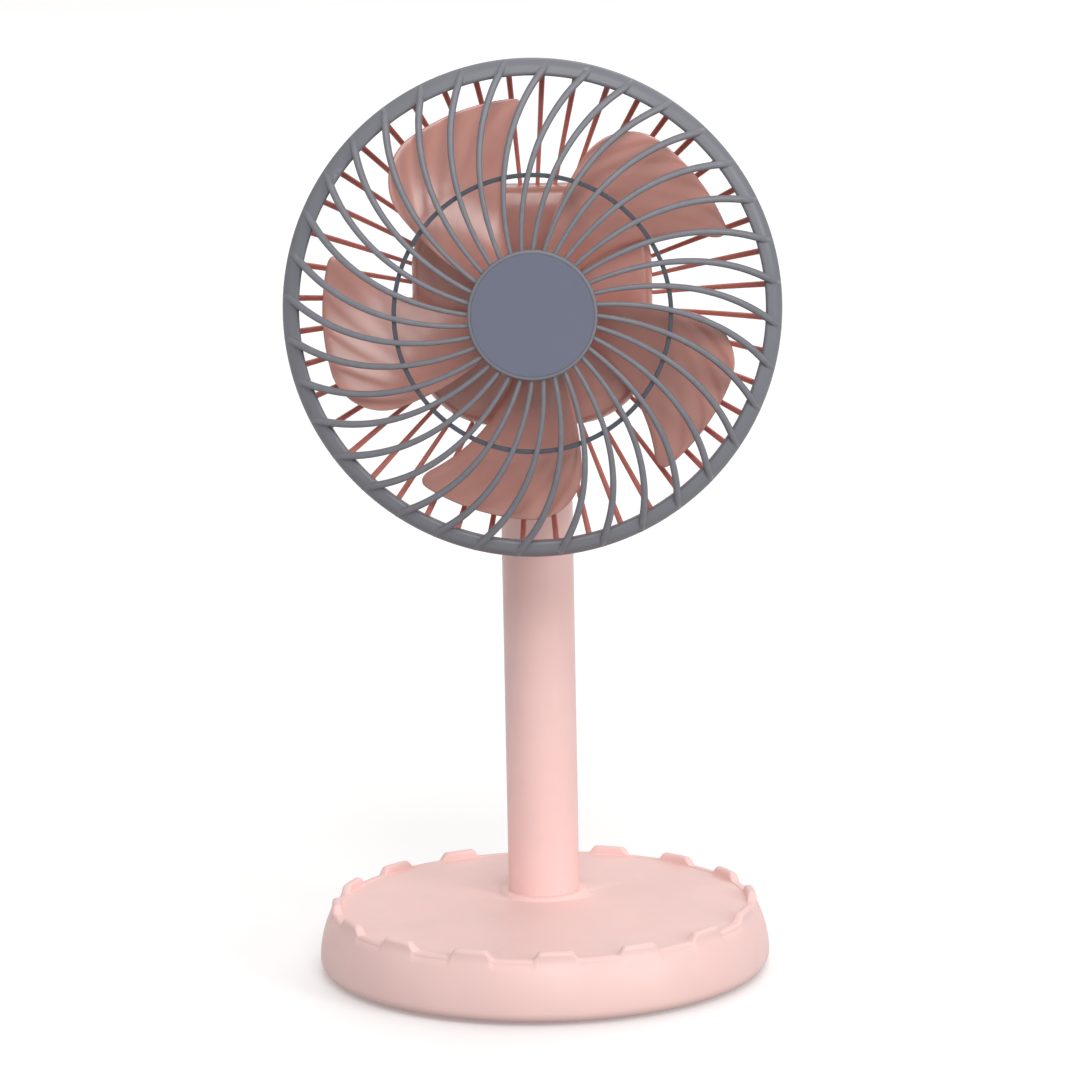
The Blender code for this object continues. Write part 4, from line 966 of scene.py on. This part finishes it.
def to_square(angle, radius):
    """Stretch from round near the axis to the housing's rounded square at its rim."""
    square = min(1.0, max(0.0, (radius - HOUSING_ROUND_R) / (BACK_HALF - HOUSING_ROUND_R)))
    return 1 + square * (squircle_radius(angle) / HOUSING_HALF - 1)


def spoke_path(angle, points=12):
    """A rear spoke: straight from the front, it bows back from the rear rim to the housing's side."""
    outer = RIM_R - 0.0022
    inner = squircle_radius(angle) - HOUSING_WALL / 2
    path = []
    for i in range(points):
        share = i / (points - 1)
        radius = outer + (inner - outer) * share
        back = -REAR_RIM_DEPTH / 2 - CAGE_SETBACK * math.sin(share * math.pi / 2)
        thick = SPOKE_THICK + (SPOKE_THIN - SPOKE_THICK) * share
        path.append((polar(radius, angle, back), thick, 1.1 * thick))
    return path


def corner_places(distance):
    """Four places at a square's corners."""
    return [(x * distance, y * distance) for x in (-1, 1) for y in (-1, 1)]


def make_rear_grille():
    """Rear rim, spokes and the motor housing's front shell."""
    outer = RIM_R - 0.0004
    inner = outer - REAR_RIM_WALL
    rim = rounded(
        [
            (outer, -GAP / 2, 0.0005),
            (outer, 0.45 * -REAR_RIM_DEPTH, 0.0006),
            (outer - 0.0012, -REAR_RIM_DEPTH, 0.0012),
            (inner, -REAR_RIM_DEPTH, 0.0006),
            (inner, -GAP / 2, 0.0005),
        ]
    )
    cage = revolve("rear_cage_fine", rim, steps=288)
    angles = [SPOKE_TURN + 2 * math.pi * i / SPOKE_COUNT for i in range(SPOKE_COUNT)]
    spokes = rods("rear_spokes", [spoke_path(angle) for angle in angles], HEAD, sides=10)
    # The spokes take the rose plastic's copy with painted shade, a deeper red than the housing
    finish_piece(spokes, SHADED_ROSE_SPOKES, "head", "rose_plastic", "rear_grille")
    cage.data.transform(HEAD)
    finish_piece(cage, ROSE, "head", "rose_plastic", "rear_grille")
    half = HOUSING_HALF
    wall = HOUSING_WALL
    inside = half - wall
    shell = rounded(
        [
            (MOTOR_HOLE_R, HOUSING_FRONT, 0.0003),
            (0.6 * HOUSING_ROUND_R, HOUSING_FRONT),
            (HOUSING_ROUND_R, HOUSING_FRONT),
            (half - 0.0088, HOUSING_FRONT - 0.0008, 0.004),
            (half - 0.0022, HOUSING_FRONT - 0.0026, 0.0035),
            (half, HOUSING_SHOULDER, 0.003),
            (half, HOUSING_REAR, 0.0004),
            (inside, HOUSING_REAR, 0.0003),
            (inside, HOUSING_SHOULDER),
            (half - 0.0048, HOUSING_FRONT - 0.0052),
            (half - 0.0098, HOUSING_FRONT - wall - 0.0014),
            (HOUSING_ROUND_R, HOUSING_FRONT - wall),
            (MOTOR_HOLE_R, HOUSING_FRONT - wall),
        ]
    )
    housing = revolve("motor_housing_fine", shell, steps=256, stretch=to_square, matrix=HEAD)
    places = list(enumerate(corner_places(COVER_SCREW_PLACE)))
    top = HOUSING_FRONT - wall + 0.0004
    bosses = [peg(f"boss_{i}", at, BOSS_R, HOUSING_REAR, top, HEAD) for i, at in places]
    combined(housing, bosses, "UNION")
    deep = HOUSING_REAR + 0.009
    pilots = [peg(f"pilot_{i}", at, PILOT_R, BACK_FACE, deep, HEAD) for i, at in places]
    pilots += [peg(f"motor_hole_{x}", (x * MOTOR_SCREW_X, 0), TAP_R, -0.02, 0, HEAD) for x in (-1, 1)]
    combined(housing, pilots)
    finish_piece(housing, ROSE, "head", "rose_plastic", "rear_grille")


def make_back_cover():
    """The pink cover behind the motor, with cooling slots and four screws on its back face."""
    rear = HOUSING_REAR - GAP
    outer = HOUSING_HALF
    wall = HOUSING_WALL
    shell = rounded(
        [
            (outer, rear, 0.0004),
            (outer - 0.0008, rear - 0.0040, 0.0015),
            (outer - 0.0040, rear - 0.0080, 0.0025),
            (BACK_HALF - 0.001, BACK_FACE, 0.002),
            (HOUSING_ROUND_R, BACK_FACE),
            (0.4 * HOUSING_ROUND_R, BACK_FACE),
            (0, BACK_FACE),
            (0, BACK_FACE + wall),
            (BACK_HALF - 0.002, BACK_FACE + wall),
            (outer - 0.0042 - wall, rear - 0.0060),
            (outer - 0.0010 - wall, rear - 0.003),
            (outer - wall, rear, 0.0003),
        ]
    )
    cover = revolve("motor_back_cover_fine", shell, steps=256, stretch=to_square, matrix=HEAD)
    face_outwards(cover, weld=True)
    places = corner_places(COVER_SCREW_PLACE)
    tools = through_back("screw_hole", places, SCREW_HOLE_R)
    half_x, half_y = VENT_SIZE[0] / 2, VENT_SIZE[1] / 2
    for i in range(VENT_COUNT):
        outline = rounded_rectangle(half_x, half_y, 0.98 * half_y, (0, VENT_FIRST + VENT_PITCH * i))
        tools.append(prism(f"vent_{i}", outline, *THROUGH_BACK, HEAD))
    tools += through_back("lead_hole", [(0, -HINGE_DROP)], LEAD_HOLE_R)
    tools += through_back("pilot", knuckle_places(), TAP_R)
    combined(cover, tools)
    soften(cover, 0.00025, segments=2, limit=50)
    finish_piece(cover, PINK, "head", "pink_plastic", "motor_back_cover")
    fine_screws("cover_screw", places, BACK_FACE - GAP, "head", HEAD, length=0.017)


def through_back(name, places, radius):
    """Round cutters through the back cover and the knuckle's flange."""
    return [peg(f"{name}_{i}", at, radius, *THROUGH_BACK, HEAD) for i, at in enumerate(places)]


def knuckle_places():
    """Where the knuckle's four screws are."""
    out, up = KNUCKLE_SCREW
    return [(x, -HINGE_DROP + y) for x in (-out, out) for y in (-up, up)]


def make_knuckle():
    """The flange on the back cover and the tongue that turns between the yoke's ears."""
    front = BACK_FACE - GAP
    back = front - KNUCKLE_FLANGE
    flange = rounded_rectangle(*KNUCKLE_HALF, 0.003, (0, -HINGE_DROP))
    knuckle = prism("tilt_knuckle_fine", flange, back, front, HEAD)
    angles = [math.pi / 2 + math.pi * k / 32 for k in range(33)]
    side = [(-HEAD_FORWARD + TONGUE_R * math.cos(a), TONGUE_R * math.sin(a)) for a in angles]
    web = [(-HEAD_FORWARD + 0.006, TONGUE_WEB_HALF + 0.0006), (back - 0.003, TONGUE_WEB_HALF)]
    web += [(back + 0.001, TONGUE_WEB_HALF + 0.0026)]
    side += [(x, -y) for x, y in web] + web[::-1]
    side = [(x, y - HINGE_DROP) for x, y in side]
    across = HEAD @ Matrix(((0, 0, 1, 0), (0, 1, 0, 0), (1, 0, 0, 0), (0, 0, 0, 1)))
    tongue = prism("tongue", side, -TONGUE_HALF, TONGUE_HALF, across)
    face_outwards(tongue, weld=True)
    combined(knuckle, [tongue], "UNION")
    hinge = HEAD @ Matrix.Translation((0, -HINGE_DROP, -HEAD_FORWARD)) @ TO_SIDE
    tools = [peg("tongue_bore", (0, 0), HINGE_BOLT_R + RUN, -0.03, 0.03, hinge)]
    tools += through_back("hole", knuckle_places(), SCREW_HOLE_R)
    tools += through_back("lead_channel", [(0, -HINGE_DROP)], LEAD_HOLE_R)
    combined(knuckle, tools)
    soften(knuckle, 0.0005)
    finish_piece(knuckle, PINK, "head", "pink_plastic", "tilt_knuckle")
    sizes = {"length": 0.0055, "shank_r": 0.0012}
    fine_screws("knuckle_screw", knuckle_places(), back - GAP, "head", HEAD, **sizes)


# Impeller


def blade_edges(radius):
    """Angles of a blade's leading and trailing edges at a radius."""
    share = max(0.0, (radius - HUB_R) / (BLADE_TIP_R - HUB_R))
    lead = BLADE_DATUM - LEAD_SWEEP * share**1.4
    trail = BLADE_DATUM + BLADE_ROOT_SPAN - TRAIL_SWEEP * share**1.1
    return lead, trail


def blade_middle():
    """How far forward the middle of a blade is: its trailing edge stays clear of the ribs."""
    ribs = rib_forward(BLADE_TIP_R - TRAIL_CORNER) - 0.00155
    return ribs - BLADE_TO_RIB - BLADE_THICKNESS / 2 - BLADE_RISE


def blade_tip(across):
    """Radius of the tip at a place across the blade, with its two corners rounded."""
    lead, trail = blade_edges(BLADE_TIP_R)
    half_width = BLADE_TIP_R * (trail - lead) / 2
    corner = TRAIL_CORNER if across > 0 else LEAD_CORNER
    into = max(0.0, abs(across) * half_width - (half_width - corner))
    return BLADE_TIP_R - corner + math.sqrt(max(0.0, corner**2 - into**2))


def blade_point(along, across, turn=0.0):
    """A point on a blade's middle surface: along 0 at the hub to 1 at the tip, across -1 to 1."""
    root = HUB_R - 0.4 * HUB_WALL
    radius = root + (blade_tip(across) - root) * along
    lead, trail = blade_edges(radius)
    angle = lead + (trail - lead) * (across + 1) / 2
    share = (radius - root) / (BLADE_TIP_R - root)
    rise = BLADE_RISE + BLADE_EXTRA_RISE * math.sin(math.pi * share)
    forward = blade_middle() + rise * across - BLADE_CAMBER * (1 - across**2)
    return Vector(polar(radius, angle + turn, forward))


def blade_normal(along, across, turn):
    """The direction that a blade's front faces at a point."""
    step = 0.004
    outer, inner = min(1.0, along + step), max(0.0, along - step)
    right, left = min(1.0, across + step), max(-1.0, across - step)
    out = blade_point(outer, across, turn) - blade_point(inner, across, turn)
    over = blade_point(along, right, turn) - blade_point(along, left, turn)
    return out.cross(over).normalized()


def one_blade(turn, rows=34, columns=44):
    """A closed blade with rounded edges: front and back skins over one grid, meeting at the edges."""
    verts, faces = [], []
    crosswise = [-math.cos(math.pi * k / columns) for k in range(columns + 1)]
    lengthwise = [math.sin(math.pi / 2 * i / rows) for i in range(rows + 1)]
    for side in (1, -1):
        for along in lengthwise:
            for across in crosswise:
                edge = math.sqrt(max(0.0, 1 - abs(across) ** 14))
                tip = math.sqrt(max(0.0, 1 - along**30))
                half = max(0.5 * BLADE_THICKNESS * edge * tip, 0.00002)
                inset = 0.9999 * across
                place = blade_point(along, inset, turn)
                verts.append(place + blade_normal(along, inset, turn) * side * half)
    width = columns + 1
    sheet = width * (rows + 1)
    for i in range(rows):
        for k in range(columns):
            corner = i * width + k
            faces.append((corner, corner + 1, corner + width + 1, corner + width))
            back = corner + sheet
            faces.append((back, back + width, back + width + 1, back + 1))
    rim = list(range(width))
    rim += [i * width + columns for i in range(1, rows + 1)]
    rim += [rows * width + k for k in range(columns - 1, -1, -1)]
    rim += [i * width for i in range(rows - 1, 0, -1)]
    for here, after in zip(rim, rim[1:] + rim[:1]):
        faces.append((here, after, after + sheet, here + sheet))
    return new_object(f"blade_{turn:.2f}", verts, faces)


def make_impeller():
    """The hub and its five blades."""
    inner = HUB_R - HUB_WALL
    bore = SHAFT_BORE
    hub = rounded(
        [
            (bore, HUB_FRONT - 0.0002, 0.0002),
            (0.5 * HUB_R, HUB_FRONT),
            (HUB_R - 0.0012, HUB_FRONT, 0.0038),
            (HUB_R, HUB_FRONT - 0.0046, 0.0030),
            (HUB_R, HUB_REAR, 0.0004),
            (inner, HUB_REAR, 0.0004),
            (inner, HUB_FRONT - 0.003, 0.001),
            (0.0045, HUB_FRONT - 0.003, 0.0004),
            (0.0045, HUB_REAR + 0.002, 0.0003),
            (bore, HUB_REAR + 0.002),
        ]
    )
    impeller = revolve("fan_blade_fine", hub, steps=144)
    blades = [one_blade(2 * math.pi * i / BLADE_COUNT) for i in range(BLADE_COUNT)]
    combined(impeller, blades, "UNION")
    impeller.data.transform(HEAD)
    finish_piece(impeller, ROSE, "rotor", "rose_plastic", "fan_blade", sharp=50)


# CAD nodes that stay, mostly inside


def dress_inner_nodes():
    """Gives each CAD node that stays its material."""
    by_material = {
        WHITE: ["pole_anchor", "friction_washer_left", "friction_washer_right"],
        BLACK: ["speed_switch", "motor_end_bell", "supply_lead", "motor_lead"],
        STEEL: ["ballast_plate", "charging_socket", "hinge_bolt", "hinge_nut", "motor_can"]
        + ["motor_shaft", "armature"]
        + [f"{place}_screw_{i}" for place in ("board", "anchor", "motor") for i in (1, 2)],
        BRONZE: ["front_bush", "rear_bush"],
        COPPER: ["winding_1", "winding_2", "winding_3", "commutator"],
        BOARD: ["control_board"],
        WRAP: ["battery_cell_1", "battery_cell_2"],
        MAGNET: ["magnet_left", "magnet_right"],
    }
    for material, nodes in by_material.items():
        for node in nodes:
            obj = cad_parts[node]
            obj.data.materials.clear()
            obj.data.materials.append(material)


# Stage, light and camera


def make_floor():
    """A wide pale floor."""
    nodes = Nodes("floor")
    speckle = nodes.spread(nodes.noise(9.0, 5.0), 0.0, 1.0)
    paper = nodes.mix(speckle, (0.945, 0.942, 0.940), (0.965, 0.962, 0.960))
    nodes.link(paper, nodes.shader.inputs["Base Color"])
    nodes.link(nodes.spread(nodes.noise(25.0), 0.55, 0.65), nodes.shader.inputs["Roughness"])
    floor = disc("floor", [(0, 0), (2, 0), (20, 0), (300, 0)], steps=64)
    floor.data.materials.append(nodes.material)
    nodes.shader.inputs["Emission Color"].default_value = (1.0, 0.995, 0.99, 1.0)
    nodes.shader.inputs["Emission Strength"].default_value = 0.15
    floor.visible_diffuse = False


def soft_light(name, comes_from, strength, spread):
    """A lamp far away, as wide as a studio's soft box, so that the whole floor is lit evenly."""
    lamp = bpy.data.lights.new(name, "SUN")
    lamp.energy = strength
    lamp.angle = math.radians(spread)
    obj = bpy.data.objects.new(name, lamp)
    bpy.context.scene.collection.objects.link(obj)
    obj.rotation_euler = (-Vector(comes_from)).to_track_quat("-Z", "Y").to_euler()


def make_light():
    """A pale room, brighter overhead, which the camera sees as white, and four soft lamps."""
    world = bpy.data.worlds.new("studio")
    world.use_nodes = True
    tree = world.node_tree
    background = tree.nodes["Background"]
    background.inputs["Color"].default_value = (1.0, 0.99, 0.985, 1)
    place = tree.nodes.new("ShaderNodeTexCoord")
    split = tree.nodes.new("ShaderNodeSeparateXYZ")
    rise = tree.nodes.new("ShaderNodeMapRange")
    tree.links.new(place.outputs["Generated"], split.inputs[0])
    tree.links.new(split.outputs["Z"], rise.inputs["Value"])
    backdrop = tree.nodes.new("ShaderNodeMath")
    backdrop.operation = "MAXIMUM"
    tree.links.new(rise.outputs["Result"], backdrop.inputs[0])
    tree.links.new(tree.nodes.new("ShaderNodeLightPath").outputs["Is Camera Ray"], backdrop.inputs[1])
    tree.links.new(backdrop.outputs[0], background.inputs["Strength"])
    rise.inputs["From Min"].default_value = -0.4
    rise.inputs["From Max"].default_value = 0.7
    rise.inputs["To Min"].default_value = WORLD_BELOW
    rise.inputs["To Max"].default_value = WORLD_ABOVE
    bpy.context.scene.world = world
    for lamp in LAMPS:
        soft_light(*lamp)
    bpy.context.scene.view_settings.view_transform = "Standard"


def make_camera():
    """Looks slightly down at the fan from the front."""
    lens = bpy.data.cameras.new("camera")
    lens.lens = LENS_MM
    lens.sensor_width = SENSOR_MM
    lens.clip_end = 1000.0
    camera = bpy.data.objects.new("camera", lens)
    bpy.context.scene.collection.objects.link(camera)
    heading = Matrix.Rotation(CAMERA_HEADING, 4, "Z")
    pitch = Matrix.Rotation(math.pi / 2 - CAMERA_DOWN, 4, "X")
    roll = Matrix.Rotation(CAMERA_ROLL, 4, "Z")
    camera.matrix_world = Matrix.Translation(CAMERA_AT) @ heading @ pitch @ roll
    bpy.context.scene.camera = camera


make_camera()
make_base()
make_button()
make_pole()
make_yoke()
make_hinge_caps()
make_front_grille()
make_badge()
make_rear_grille()
make_back_cover()
make_knuckle()
make_impeller()
dress_inner_nodes()
make_floor()
make_light()
